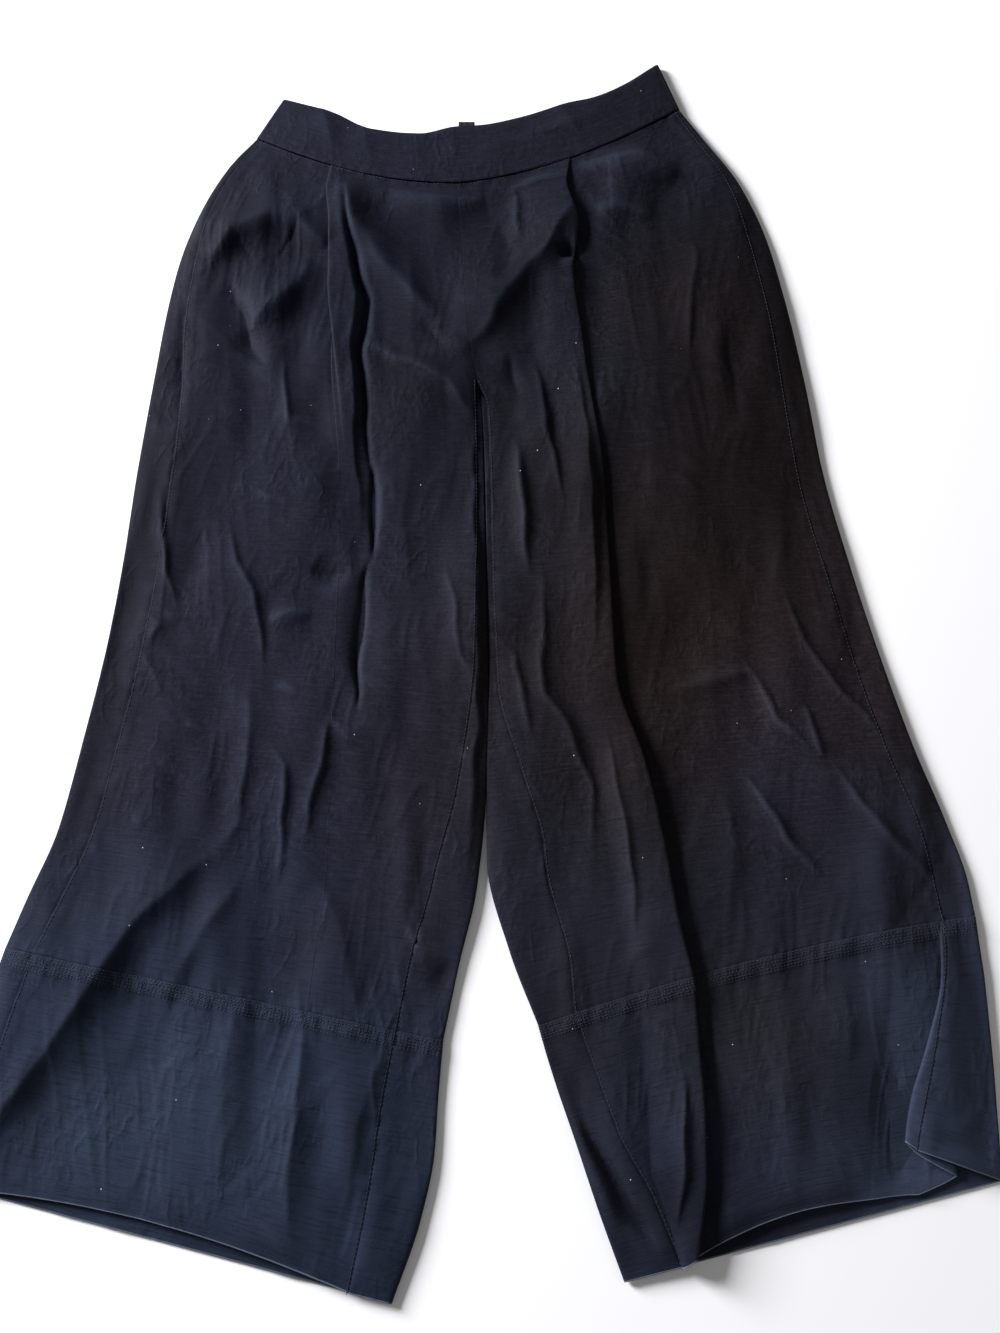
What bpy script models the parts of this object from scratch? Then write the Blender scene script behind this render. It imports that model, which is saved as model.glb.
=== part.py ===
"""Wide culottes lying flat on their back: waist towards +Y, front upwards, hems towards -Y.

The legs are flattened tubes.  Each cross-section is a line walked from the outer edge inwards and
thickened to a wall.  The back panels lie on the ground and wrap round both edges of a leg on to its
top, where the side seam and the inseam show.  The front panels lie on them, folded at the pleats.
Sizes are in millimetres; left and right are the wearer's.
"""
from collections import namedtuple

import bpy
import numpy as np

MM = 0.001
WALL = 1.2
SEAM = 0.3
BEFORE_PLEAT = 6
AFTER_PLEAT = 8
PITCH = WALL + SEAM
FLOOR = WALL / 2
TOP = FLOOR + PITCH
LOFT = 2.8
EDGE_REACH = 15.0
TURN = 2.0
RAMP = 26.0
BAND_WALL = 1.6
CENTRE_X = -21.0
CENTRE_Y = 55.5
TAB_WIDTH = 14.0
TAB_LENGTH = 26.0
TAB_SHOWS = 8.0
TAB_WALL = 0.8

Row = namedtuple("Row", "outer_x outer_y inner_x inner_y sag side_strip inner_strip "
                        "pleat_x pleat_depth pleat_rise flap_x flap_depth flap_rise lift_front flat")
ROW_REST = (0,) * 8


OUTLINE_COLUMNS = 7


def rows(table):
    """Sections with one more halfway between each two; the outline runs smoothly through them.

    Short rows are filled out with zeros, which mean no pleat, no flap and a level front hem.
    """
    given = np.array([(tuple(line) + ROW_REST)[:len(Row._fields)] for line in table], float)
    filled = [given[0]]
    for i in range(1, len(given)):
        before, after = given[max(i - 2, 0)], given[min(i + 1, len(given) - 1)]
        halfway = (given[i - 1] + given[i]) / 2
        smooth = halfway + (given[i - 1] + given[i] - before - after) / 16
        halfway[:OUTLINE_COLUMNS] = smooth[:OUTLINE_COLUMNS]
        if min(given[i - 1][6], given[i][6]) == 0:
            halfway[2:4] = (given[i - 1][2:4] + given[i][2:4]) / 2
            halfway[6] = 0
        filled += [halfway, given[i]]
    return [Row(*line) for line in filled]


# outer edge x, y | inner edge x, y | sag | side strip, inner strip | pleat x, depth, rise
RIGHT_LEG = rows((
    (-210, 472, -37, 425, -12, 6, 0, -144, 13, PITCH),
    (-240, 427, -35, 385, -6, 10, 0, -137, 12, PITCH),
    (-262, 370, -32, 335, 0, 13, 0, -124, 11, PITCH),
    (-276, 300, -28, 275, 0, 16, 0, -112, 9, PITCH),
    (-282, 243, -20, 240, 0, 21, 0, -111, 8, PITCH),
    (-285, 200, -16, 200, 0, 24, 4, -110, 6, PITCH),
    (-290, 130, -15, 130, 0, 26, 5, -102, -4, PITCH),
    (-297, 40, -14, 35, 0, 27, 10, -100, -4, 0),
    (-309, -45, -14, -60, 0, 28, 18, -105, -4, 0),
    (-325, -130, -16, -150, 0, 26, 28, -112, -4, 0),
    (-354, -211, -41, -276, 0, 22, 22, -125, -4, 0),
))
# outer edge x, y | inner edge x, y | sag | side strip, inner strip | pleat x, depth, rise |
# flap x, depth, rise | how far the front hem lies above the back hem | width of the flat outer part
RIGHT_BAND = rows((
    (-354, -211, -41, -276, 0, 22, 22),
    (-370, -287, -44, -352, 0, 20, 32),
    (-385, -362, -72, -437, 0, 20, 20, 0, 0, 0, 0, 0, 0, 11),
))
LEFT_LEG = rows((
    (156, 502, -37, 425, -14, 6, 0, 60, 13, PITCH),
    (200, 434, -35, 385, -6, 12, 0, 62, 13, PITCH),
    (224, 372, -32, 335, 0, 16, 0, 62, 12, PITCH),
    (238, 300, -28, 275, 0, 20, 0, 66, 11, PITCH),
    (247, 243, -20, 240, 0, 21, 0, 72, 10, PITCH),
    (251, 200, -10, 200, 0, 22, 4, 75, 10, PITCH),
    (261, 125, -9, 130, 0, 24, 4, 81, 9, PITCH),
    (281, 42, -7, 35, 0, 25, 4, 79, 9, PITCH),
    (303, -48, -8, -60, 0, 26, 17, 98, 9, PITCH),
    (330, -130, -8, -150, 4, 27, 36, 115, 10, PITCH, 0, 0, 0, 0, 40),
    (341, -190, 28, -265, 8, 28, 18, 134, 10, PITCH, 0, 0, 0, 0, 80),
))
LEFT_BAND = rows((
    (341, -190, 28, -265, 8, 28, 18, 134, 10, PITCH, 305, -4, 0, 0, 80),
    (342, -217, 32, -288, 6, 29, 20, 137, 10, PITCH, 304, -4, PITCH, 1, 80),
    (343, -244, 38, -310, 4, 32, 23, 140, 10, PITCH, 300, 9, PITCH, 3, 80),
    (342, -300, 60, -362, 0, 46, 30, 141, 9, PITCH, 283, 22, PITCH, 7, 80),
    (341, -362, 83, -424, 0, 56, 30, 138, 8, PITCH, 275, 33, PITCH, 13, 80),
))
# half of the waistband's top edge and of its seam, from the side to the centre line
WAIST_TOP = {"right": (-189, 512, -33, 482, -16), "left": (139, 549, -33, 482, -11)}
WAIST_STRIP = 6.0

# the largest folds of the top layer: from x, y to x, y | half width | height
Fold = namedtuple("Fold", "x0 y0 x1 y1 reach height")
FOLDS = [Fold(*line) for line in (
    (-186, -15, -205, -135, 26, 5),
    (-205, -135, -320, -300, 26, 6),
    (-140, 320, -225, 330, 34, 5),
    (75, 395, 150, 385, 34, 4),
    (-100, 400, -50, 320, 26, 4),
    (60, 375, -10, 260, 24, 5),
    (40, 180, 25, 40, 24, 4),
    (-180, 60, -150, -40, 22, 3),
    (170, -30, 215, -150, 28, 4),
    (-170, -250, -172, -400, 20, 4),
    (95, -130, 100, -300, 20, 4),
    (220, 20, 280, -70, 24, 3),
)]

NAVY = (0.012, 0.015, 0.026, 1.0)
BLACK = (0.006, 0.006, 0.007, 1.0)


def clear_scene():
    for obj in list(bpy.data.objects):
        bpy.data.objects.remove(obj, do_unlink=True)


def cloth_material(name, colour, roughness):
    material = bpy.data.materials.new(name)
    material.use_nodes = True
    shader = material.node_tree.nodes["Principled BSDF"]
    shader.inputs["Base Color"].default_value = colour
    shader.inputs["Roughness"].default_value = roughness
    shader.inputs["Metallic"].default_value = 0.0
    return material


def fold_height(x, y):
    """How far the folds raise the top layer here."""
    height = 0.0
    for fold in FOLDS:
        along = np.array((fold.x1 - fold.x0, fold.y1 - fold.y0), float)
        away = np.array((x - fold.x0, y - fold.y0), float)
        share = np.clip(away @ along / (along @ along), 0, 1)
        distance = np.linalg.norm(away - share * along)
        height += fold.height * np.exp(-(distance / fold.reach) ** 2)
    return height


class Section:
    """One cross-section of a leg, measured from its outer edge inwards."""

    def __init__(self, row, shift_y=0.0):
        self.row = row
        self.width = abs(row.inner_x - row.outer_x)
        self.inward = 1.0 if row.inner_x > row.outer_x else -1.0
        self.shift_y = shift_y
        self.pleat = abs(row.pleat_x - row.outer_x) if row.pleat_depth else None
        self.flap = abs(row.flap_x - row.outer_x) if row.flap_depth else None

    def place(self, distance, front=False):
        """The point of the section this far in from the outer edge, seen from above."""
        row = self.row
        share = distance / self.width
        bow = 4 * share * (1 - share)
        y = row.outer_y + (row.inner_y - row.outer_y) * share + row.sag * bow + self.shift_y
        if front:
            between = self.width - row.side_strip - row.inner_strip
            inside = np.clip((distance - row.side_strip) / between, 0, 1)
            y += row.lift_front * 4 * inside * (1 - inside)
        return row.outer_x + self.inward * distance, y

    def lift(self, distance):
        """How far the pleat and the flap raise the layer that lies on them."""
        row = self.row
        lift = 0.0
        if self.pleat is not None and distance > self.pleat:
            past = distance - self.pleat_over() - 4
            lift = 2 * row.pleat_rise * np.clip(1 - past / (self.pleat_ramp() - 4), 0, 1)
        if self.flap is not None and distance < self.flap:
            depth = max(row.flap_depth, 0)
            before = self.flap - depth - 4 - distance
            lift = 2 * row.flap_rise * np.clip(1 - before / (RAMP - 4), 0, 1)
        return lift

    def pleat_over(self):
        """Where the pleat's hidden fold lies."""
        return self.pleat + max(self.row.pleat_depth, 0)

    def pleat_ramp(self):
        """How far beyond its hidden fold the pleat comes back down, always short of the inseam."""
        room = self.width - self.row.inner_strip - self.pleat_over()
        return min(RAMP, 0.6 * room)

    def top(self, distance):
        """Height of the top layer without the lift of its own pleats."""
        row = self.row
        edge = distance - max(row.flat, TURN)
        if row.inner_strip:
            edge = min(edge, self.width - distance - TURN)
        swell = 1 - np.exp(-max(edge, 0) / EDGE_REACH)
        return TOP + swell * (LOFT + fold_height(*self.place(distance)))

    def front_line(self):
        """Walks the front panel from the side seam to the inseam or the centre seam."""
        row = self.row
        start = row.side_strip + SEAM / 2
        end = self.width - row.inner_strip - SEAM / 2
        line = []
        if self.flap is not None:
            line += self.flap_points(start)
            start = line[-1][0] + 12
        else:
            line.append((start, 0.0))
        if self.pleat is not None:
            line += spread(line[-1][0], self.pleat - 8, BEFORE_PLEAT)
            line += self.pleat_points()
            line += spread(line[-1][0], end, AFTER_PLEAT)
        else:
            line += spread(line[-1][0], end, BEFORE_PLEAT + AFTER_PLEAT)
        return [(distance, self.top(distance) + lift) for distance, lift in line]

    def pleat_points(self):
        """A fold whose edge faces outwards: under, back and over."""
        row, edge = self.row, self.pleat
        depth, rise = row.pleat_depth, row.pleat_rise
        apart = 1.0 - rise / PITCH
        over = self.pleat_over()
        return [(edge + depth - apart, 0.0), (edge + depth + apart, rise), (edge - apart, rise),
                (edge + apart, 2 * rise), (over + 4, 2 * rise),
                (over + self.pleat_ramp(), 0.0)]

    def flap_points(self, start):
        """A fold whose edge faces inwards, over the side seam: over, back and under."""
        row, edge = self.row, self.flap
        depth, rise = row.flap_depth, row.flap_rise
        apart = 1.0 - rise / PITCH
        return [(start, self.lift(start)), (edge - apart, 2 * rise), (edge + apart, rise),
                (edge - depth - apart, rise), (edge - depth + apart, 0.0)]

    def back_line(self):
        """Walks the back panel from the side seam round under the leg to the inseam."""
        row, width = self.row, self.width
        strip = row.side_strip - SEAM / 2
        middle = (strip + TURN) / 2
        if self.flap is not None:
            middle = min(self.flap - max(row.flap_depth, 0) - 4, strip - 1)
        line = []
        for distance in (strip, middle, TURN):
            line.append((distance, self.top(distance) + self.lift(distance)))
        line += [(0.6, TOP - 0.4), (0.6, FLOOR + 0.4), (TURN, FLOOR)]
        if row.inner_strip:
            strip = row.inner_strip - SEAM / 2
            line += [(d, FLOOR) for d, _ in spread(TURN, width - TURN, 5)]
            line += [(width - 0.6, FLOOR + 0.4), (width - 0.6, TOP - 0.4)]
            for inset in (TURN, (strip + TURN) / 2, strip):
                line.append((width - inset, self.top(width - inset)))
        else:
            line += [(d, FLOOR) for d, _ in spread(TURN, width - 10, 5)]
            line += [(width - d, FLOOR) for d in (7, 5, 3.5, 2, SEAM / 2)]
        return line


def spread(start, end, count):
    """This many evenly spaced distances after the start, up to the end, with no lift."""
    return [(float(d), 0.0) for d in np.linspace(start, end, count + 1)[1:]]


def thickened(line, wall):
    """The two faces of a wall along a line of (distance, height) points, with mitred corners."""
    points = np.array(line, float)
    steps = np.diff(points, axis=0)
    steps /= np.linalg.norm(steps, axis=1)[:, None]
    sides = np.stack((-steps[:, 1], steps[:, 0]), axis=1)
    before = np.vstack((sides[:1], sides))
    after = np.vstack((sides, sides[-1:]))
    corner = before + after
    corner /= np.maximum((corner * before).sum(axis=1), 0.35)[:, None]
    return points + corner * wall / 2, points - corner * wall / 2


def wall_solid(name, rings, material):
    """A closed wall from rings, each ring the two faces of one section as points in space."""
    count = len(rings[0][0])
    vertices = [tuple(p) for upper, lower in rings for p in list(upper) + list(lower)]
    faces = []

    def quad(a, b, c, d):
        faces.append((a, b, c))
        faces.append((a, c, d))

    for r in range(len(rings) - 1):
        here, there = 2 * count * r, 2 * count * (r + 1)
        for i in range(count - 1):
            quad(here + i, here + i + 1, there + i + 1, there + i)
            low, far = here + count + i, there + count + i
            quad(low + 1, low, far, far + 1)
        quad(here + count, here, there, there + count)
        quad(here + count - 1, here + 2 * count - 1, there + 2 * count - 1, there + count - 1)
    last = 2 * count * (len(rings) - 1)
    for i in range(count - 1):
        quad(i + 1, i, count + i, count + i + 1)
        quad(last + i, last + i + 1, last + count + i + 1, last + count + i)
    mesh = bpy.data.meshes.new(name)
    mesh.from_pydata([tuple(c * MM for c in v) for v in vertices], [], oriented(vertices, faces))
    mesh.materials.append(material)
    obj = bpy.data.objects.new(name, mesh)
    bpy.context.scene.collection.objects.link(obj)
    return obj


def oriented(vertices, faces):
    """The faces turned outwards, told by the sign of the volume that they enclose."""
    corners = np.array(vertices)[np.array(faces)]
    if np.linalg.det(corners).sum() < 0:
        return [face[::-1] for face in faces]
    return faces


def leg_rings(sections, front, wall=WALL):
    rings = []
    for section in sections:
        line = section.front_line() if front else section.back_line()
        ring = []
        for face in thickened(line, wall):
            placed = []
            for distance, height in face:
                x, y = section.place(distance, front)
                placed.append((x - CENTRE_X, y - CENTRE_Y, height))
            ring.append(placed)
        rings.append(ring)
    return rings


def sections_of(table, first_shift=0.0, last_shift=0.0):
    """The sections of a panel, its first and last ones drawn back from their seams."""
    shifts = [0.0] * len(table)
    shifts[0] = first_shift
    shifts[-1] = last_shift
    return [Section(row, shift) for row, shift in zip(table, shifts)]


def waist_line(share, level):
    """A point across the waistband: share 0 at the right side, 1 at the left; level 0 is its seam."""
    right_seam, left_seam = RIGHT_LEG[0], LEFT_LEG[0]
    seams = {"right": right_seam[:5], "left": left_seam[:5]}
    half = "right" if share <= 0.5 else "left"
    inward = 2 * share if half == "right" else 2 * (1 - share)
    points = []
    for outer_x, outer_y, inner_x, inner_y, sag in (seams[half], WAIST_TOP[half]):
        bow = 4 * inward * (1 - inward)
        points.append((outer_x + (inner_x - outer_x) * inward,
                       outer_y + (inner_y - outer_y) * inward + sag * bow))
    (seam_x, seam_y), (top_x, top_y) = points
    return seam_x + (top_x - seam_x) * level, seam_y + (top_y - seam_y) * level


def waist_rings(front):
    width = abs(LEFT_LEG[0].outer_x - RIGHT_LEG[0].outer_x)
    strip = WAIST_STRIP
    floor = BAND_WALL / 2
    top = floor + BAND_WALL + SEAM
    low, high = strip + SEAM / 2, width - strip - SEAM / 2
    if front:
        crown = 1.6
        line = [(d, top + crown * np.sin(np.pi * (d - low) / (high - low)))
                for d in np.linspace(low, high, 21)]
    else:
        line = [(low - SEAM, top), (TURN, top), (0.8, top - 0.5), (0.8, floor + 0.5)]
        line += [(d, floor) for d in np.linspace(TURN, width - TURN, 13)]
        line += [(width - 0.8, floor + 0.5), (width - 0.8, top - 0.5), (width - TURN, top),
                 (high + SEAM, top)]
    upper, lower = thickened(line, BAND_WALL)
    rings = []
    for level in (SEAM / 45, 0.5, 1.0):
        ring = []
        for face in (upper, lower):
            placed = []
            for distance, height in face:
                x, y = waist_line(distance / width, level)
                placed.append((x - CENTRE_X, y - CENTRE_Y, height))
            ring.append(placed)
        rings.append(ring)
    return rings


def build_tab(material):
    """The plain tab stitched inside the back of the waistband, showing above its edge."""
    x, y = waist_line(0.52, 1.0)
    x -= CENTRE_X
    y += TAB_SHOWS - CENTRE_Y
    low = BAND_WALL + SEAM
    rings = []
    for edge in (y - TAB_LENGTH, y):
        upper = [(x - TAB_WIDTH / 2, edge, low + TAB_WALL), (x + TAB_WIDTH / 2, edge, low + TAB_WALL)]
        lower = [(px, py, low) for px, py, _ in upper]
        rings.append((upper, lower))
    wall_solid("back_tab", rings, material)


def build():
    clear_scene()
    cloth = cloth_material("navy_cloth", NAVY, 0.85)
    tape = cloth_material("black_tape", BLACK, 0.7)
    half = SEAM / 2
    for side, leg, band in (("right", RIGHT_LEG, RIGHT_BAND), ("left", LEFT_LEG, LEFT_BAND)):
        leg_sections = sections_of(leg, -half, half)
        band_sections = sections_of(band, -half)
        for part, front in (("front", True), ("back", False)):
            wall_solid(f"{side}_leg_{part}", leg_rings(leg_sections, front), cloth)
            wall_solid(f"{side}_hem_band_{part}", leg_rings(band_sections, front), cloth)
    wall_solid("waistband_front", waist_rings(True), cloth)
    wall_solid("waistband_back", waist_rings(False), cloth)
    build_tab(tape)


build()
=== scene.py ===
# %% [markdown]
# # Wide navy culottes, laid flat
#
# The garment lies on its back with the front upwards: two wide leg tubes, a shaped waistband and a deep
# separate band round each hem. Every piece of cloth is a thin shell, made from cross-sections of the leg,
# and then creased. The first cell loads the imported model, whose box gives every size that follows.

# %% Load the frame
import math
from collections import namedtuple

import bpy
import numpy as np
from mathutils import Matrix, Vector


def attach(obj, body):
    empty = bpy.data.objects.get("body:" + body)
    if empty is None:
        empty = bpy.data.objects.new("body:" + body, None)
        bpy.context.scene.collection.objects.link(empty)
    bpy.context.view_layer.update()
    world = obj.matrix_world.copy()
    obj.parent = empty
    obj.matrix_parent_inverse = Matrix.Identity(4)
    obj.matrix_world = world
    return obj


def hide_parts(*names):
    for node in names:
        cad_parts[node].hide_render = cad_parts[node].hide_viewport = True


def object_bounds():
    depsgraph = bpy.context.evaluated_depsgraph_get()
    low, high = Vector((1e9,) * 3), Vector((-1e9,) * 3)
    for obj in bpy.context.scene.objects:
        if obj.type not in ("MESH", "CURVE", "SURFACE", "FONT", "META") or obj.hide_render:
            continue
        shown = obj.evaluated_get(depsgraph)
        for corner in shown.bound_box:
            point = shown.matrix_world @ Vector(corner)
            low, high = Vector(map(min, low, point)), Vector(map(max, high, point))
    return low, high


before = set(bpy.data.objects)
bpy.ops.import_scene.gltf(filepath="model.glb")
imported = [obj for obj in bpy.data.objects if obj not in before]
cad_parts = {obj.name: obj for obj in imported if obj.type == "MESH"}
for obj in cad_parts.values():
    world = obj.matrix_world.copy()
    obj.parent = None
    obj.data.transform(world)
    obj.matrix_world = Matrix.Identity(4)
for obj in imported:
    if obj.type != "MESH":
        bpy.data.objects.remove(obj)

cad_low, cad_high = [np.array(tuple(corner), float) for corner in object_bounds()]
cad_size = cad_high - cad_low
print("garment box in metres:", cad_size.round(3))

# %% [markdown]
# ## One unit for the whole garment
#
# The laid garment is 986 millimetres from the tip of the waistband to the lowest hem corner. All
# tables below are in that nominal millimetre, measured from the middle of the box, so the whole
# model follows the frame if its size changes.

# %% Sizes
NOMINAL_LENGTH = 986.0
MM = cad_size[1] / NOMINAL_LENGTH
MIDDLE = (cad_low + cad_high) / 2
CLOTH = 0.7                  # thickness of the cloth
FLOOR_LAYER = 0.95           # height of the back layer's middle
EDGE_LIFT = 3.0              # how far the front layer lies over the back at the very edge
LOFT = 3.0                   # how much more it stands up inside the edge
LOFT_REACH = 22.0            # how fast it rises
SEAM_GAP = 0.12              # between two pieces that are sewn together
FOLD_LIFT = 2.0              # height of one more layer in a pleat
print("one nominal millimetre is", round(MM * 1000, 4), "mm")

# %% [markdown]
# ## Camera
#
# The garment is seen from nearly straight above, by a camera held over the knees and tipped fifteen
# degrees towards the waist, so the hems look a little larger than the waistband.

# %% Camera
TILT = math.radians(15)
AIM = (21.0, -55.5)          # the spot that it looks at, from the middle of the garment
DISTANCE = 877.0             # from that spot to the lens
LENS, SENSOR = 31.06, 36


def put(name, data):
    """A new object in the scene that holds this camera, mesh or lamp."""
    obj = bpy.data.objects.new(name, data)
    bpy.context.scene.collection.objects.link(obj)
    return obj


camera = put("camera", bpy.data.cameras.new("camera"))
camera.data.lens = LENS
camera.data.sensor_width = SENSOR
camera.location = (
    MIDDLE[0] + AIM[0] * MM,
    MIDDLE[1] + (AIM[1] - DISTANCE * math.sin(TILT)) * MM,
    cad_low[2] + DISTANCE * math.cos(TILT) * MM,
)
camera.rotation_euler = (TILT, 0, 0)
bpy.context.scene.camera = camera
print("camera height", round(camera.location.z, 3))

# %% [markdown]
# ## Smooth tables
#
# A pattern cutter marks a few stations along a leg and joins them with a smooth rule. Here a table
# holds one row for each station, with named columns, and a monotone cubic curve joins the values.
# It never overshoots, so a straight stretch stays straight.

# %% Smooth tables
def smooth(stations, values, wanted):
    """A monotone cubic curve through the values, read at the wanted stations."""
    stations, values = np.asarray(stations, float), np.asarray(values, float)
    wanted = np.clip(wanted, stations[0], stations[-1])
    gaps = np.diff(stations)
    rates = np.diff(values) / gaps
    slopes = np.zeros(len(values))
    slopes[0], slopes[-1] = rates[0], rates[-1]
    for i in range(1, len(values) - 1):
        if rates[i - 1] * rates[i] > 0:
            w1, w2 = 2 * gaps[i] + gaps[i - 1], gaps[i] + 2 * gaps[i - 1]
            slopes[i] = (w1 + w2) / (w1 / rates[i - 1] + w2 / rates[i])
    k = np.clip(np.searchsorted(stations, wanted, side="right") - 1, 0, len(gaps) - 1)
    t = (wanted - stations[k]) / gaps[k]
    h = gaps[k]
    return (values[k] * (1 + 2 * t) * (1 - t) ** 2 + slopes[k] * h * t * (1 - t) ** 2
            + values[k + 1] * t * t * (3 - 2 * t) + slopes[k + 1] * h * t * t * (t - 1))


COLUMNS = ("down outer_x outer_y inner_x inner_y sag side_strip inner_strip closed "
           "pleat_x pleat_depth pleat_rise flap_in flap_depth flap_rise flap_up front_short flat")
Stations = namedtuple("Stations", COLUMNS)


def stations(table):
    """The table's columns as arrays; a short row is filled out with zeros."""
    width = len(Stations._fields)
    return Stations(*np.array([(tuple(row) + (0,) * width)[:width] for row in table], float).T)


def sections(table, wanted):
    """Every column of the table, read smoothly at the wanted distances down the leg."""
    return Stations(*[smooth(table.down, column, wanted) for column in table])


# %% [markdown]
# ## The legs' outlines
#
# Each row is a cross-section of a leg tube: how far down it lies, its outer and inner edge, how far
# it sags between them, and how wide a strip of the back panel shows on top beside each edge, because
# the seams of this garment roll on to its front. The later columns fold the pleat and, on the left
# band, the turned-over flap. A real pleat is folded outwards, so its edge faces the side seam.

# %% Outline tables
RIGHT_LEG = stations((
    # down, outer x, y, inner x, y, sag, strips, closed, pleat x, depth, rise
    (0, -189, 416, -16, 369, -12, 3, 0, 0, -124, 12, 0.2),
    (27, -208, 392, -14, 347, -9, 5, 0, 0, -126, 12, 0.8),
    (76, -231, 347, -11, 308, -5, 8, 0, 0, -122, 12, 0.9),
    (130, -248, 290, -8, 262, 0, 14, 0, 0, -122, 9, 0.8),
    (182, -256, 233, -3, 214, 0, 17, 0, 0, -116, 0, 0.6),
    (212, -259, 200, 1, 187, 0, 21, 0, 0, -112, -4, 0.5),
    (240, -262, 168, 6.1, 160, 0, 25, 4, 1, -108, -5, 0.3),
    (300, -267, 108, 8.4, 100, 0, 28, 5, 1, -102, -5, 0),
    (380, -272, 30, 10.2, 15, 0, 28, 7, 1, -100, -5, 0),
    (460, -278, -34, 12.0, -60, 0, 27, 10, 1, -100, -5, 0),
    (540, -290, -112, 10.6, -148, 0, 26, 20, 1, -100, -5, 0),
    (610, -302, -180, 4, -222, 0, 25, 31, 1, -100, -5, 0),
    (665, -319, -228, -8, -274, 0, 24, 33, 1, -105, -5, 0),
    (715, -331, -263.5, -19, -326.5, 0, 22, 32, 1, -110, -5, 0),
))
LEFT_LEG = stations((
    # down, outer x, y, inner x, y, sag, strips, closed, pleat x, depth, rise
    (0, 177, 446, -16, 369, -14, 3, 0, 0, 81, 13, 0.2),
    (27, 195, 418, -14, 347, -10, 5, 0, 0, 78, 14, 1.2),
    (76, 227, 367, -11, 308, -5, 9, 0, 0, 87, 17, 1.7),
    (130, 245, 318, -8, 262, 0, 14, 0, 0, 82, 12, 1.3),
    (182, 258, 254, -3, 214, 0, 16, 0, 0, 88, 10, 0.9),
    (212, 264, 216, 1, 187, 0, 17, 0, 0, 91, 9, 0.9),
    (240, 269, 178, 6.5, 160, 0, 18, 4, 1, 95, 9, 0.9),
    (300, 277, 108, 9.2, 100, 0, 19, 4, 1, 103, 8, 1.0),
    (380, 293, 25, 11, 15, 0, 20, 4, 1, 106, 8, 1.2),
    (460, 311, -51, 12.8, -68, 0, 20, 6, 1, 109, 8, 1.5),
    (540, 329, -118, 11.2, -140, 2, 20, 26, 1, 128, 9, 2.0),
    (610, 347, -172, 12, -205, 4, 20, 41, 1, 140, 10, 2.1),
    (665, 359, -215, 28, -266, 6, 23, 39, 1, 148, 11, 2.1, 0, 0, 0, 0, 0, 30),
    (715, 362, -241.5, 48, -316.5, 8, 22, 25, 1, 157, 11, 2.1, 0, 0, 0, 0, 0, 60),
))
RIGHT_BAND = stations((
    (715, -331, -263.5, -19, -326.5, 0, 22, 32, 1),
    (755, -341, -303, -22, -365, 0, 21, 36, 1),
    (795, -349, -341, -24, -400, 0, 20, 39, 1),
    (838, -357, -380, -33, -443, 0, 20, 36, 1),
    (882, -364, -418, -51, -493, 0, 20, 28, 1, 0, 0, 0, 0, 0, 0, 0, 11),
))
LEFT_BAND = stations((
    # down, outer, inner, sag, strips, closed, pleat x, depth, rise, flap in, depth, rise, up, short, flat
    (715, 362, -241.5, 48, -316.5, 8, 22, 25, 1, 157, 11, 2.1, 25, -4, 0, 0, 0, 60),
    (735, 363, -263, 53, -334, 7, 25, 26, 1, 158, 11, 2.1, 29, 3, 1.2, 2, 0, 64),
    (757, 364, -288, 59, -353, 6, 30, 27, 1, 159, 11, 2.1, 33, 10, 1.6, 5, 2, 68),
    (800, 364, -335, 73, -393, 4, 41, 28, 1, 161, 11, 2.1, 47, 21, 2.0, 14, 5, 76),
    (842, 363, -378, 88, -437, 2, 50, 36, 1, 160, 11, 2.0, 59, 30, 2.2, 27, 9, 86),
    (882, 362, -418, 104, -480, 0, 58, 38, 1, 152, 10, 1.9, 66, 35, 2.0, 39, 15, 92),
))
print("stations:", [len(t.down) for t in (RIGHT_LEG, LEFT_LEG, RIGHT_BAND, LEFT_BAND)])

# %% [markdown]
# ## Creases
#
# Pressed cotton that has been folded away keeps crisp ridges, slack troughs and short hooked puckers, no
# two alike. A physical simulation would settle them somewhere else each time, so they are listed one by
# one: each row is a path over the cloth, its height (a trough is negative), how far it reaches to the west
# and to the east, and how crisp its crest is.

# %% Crease tables
Crease = namedtuple("Crease", "path height west east crisp")


def creases(table):
    return [Crease(*row) for row in table]


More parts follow.
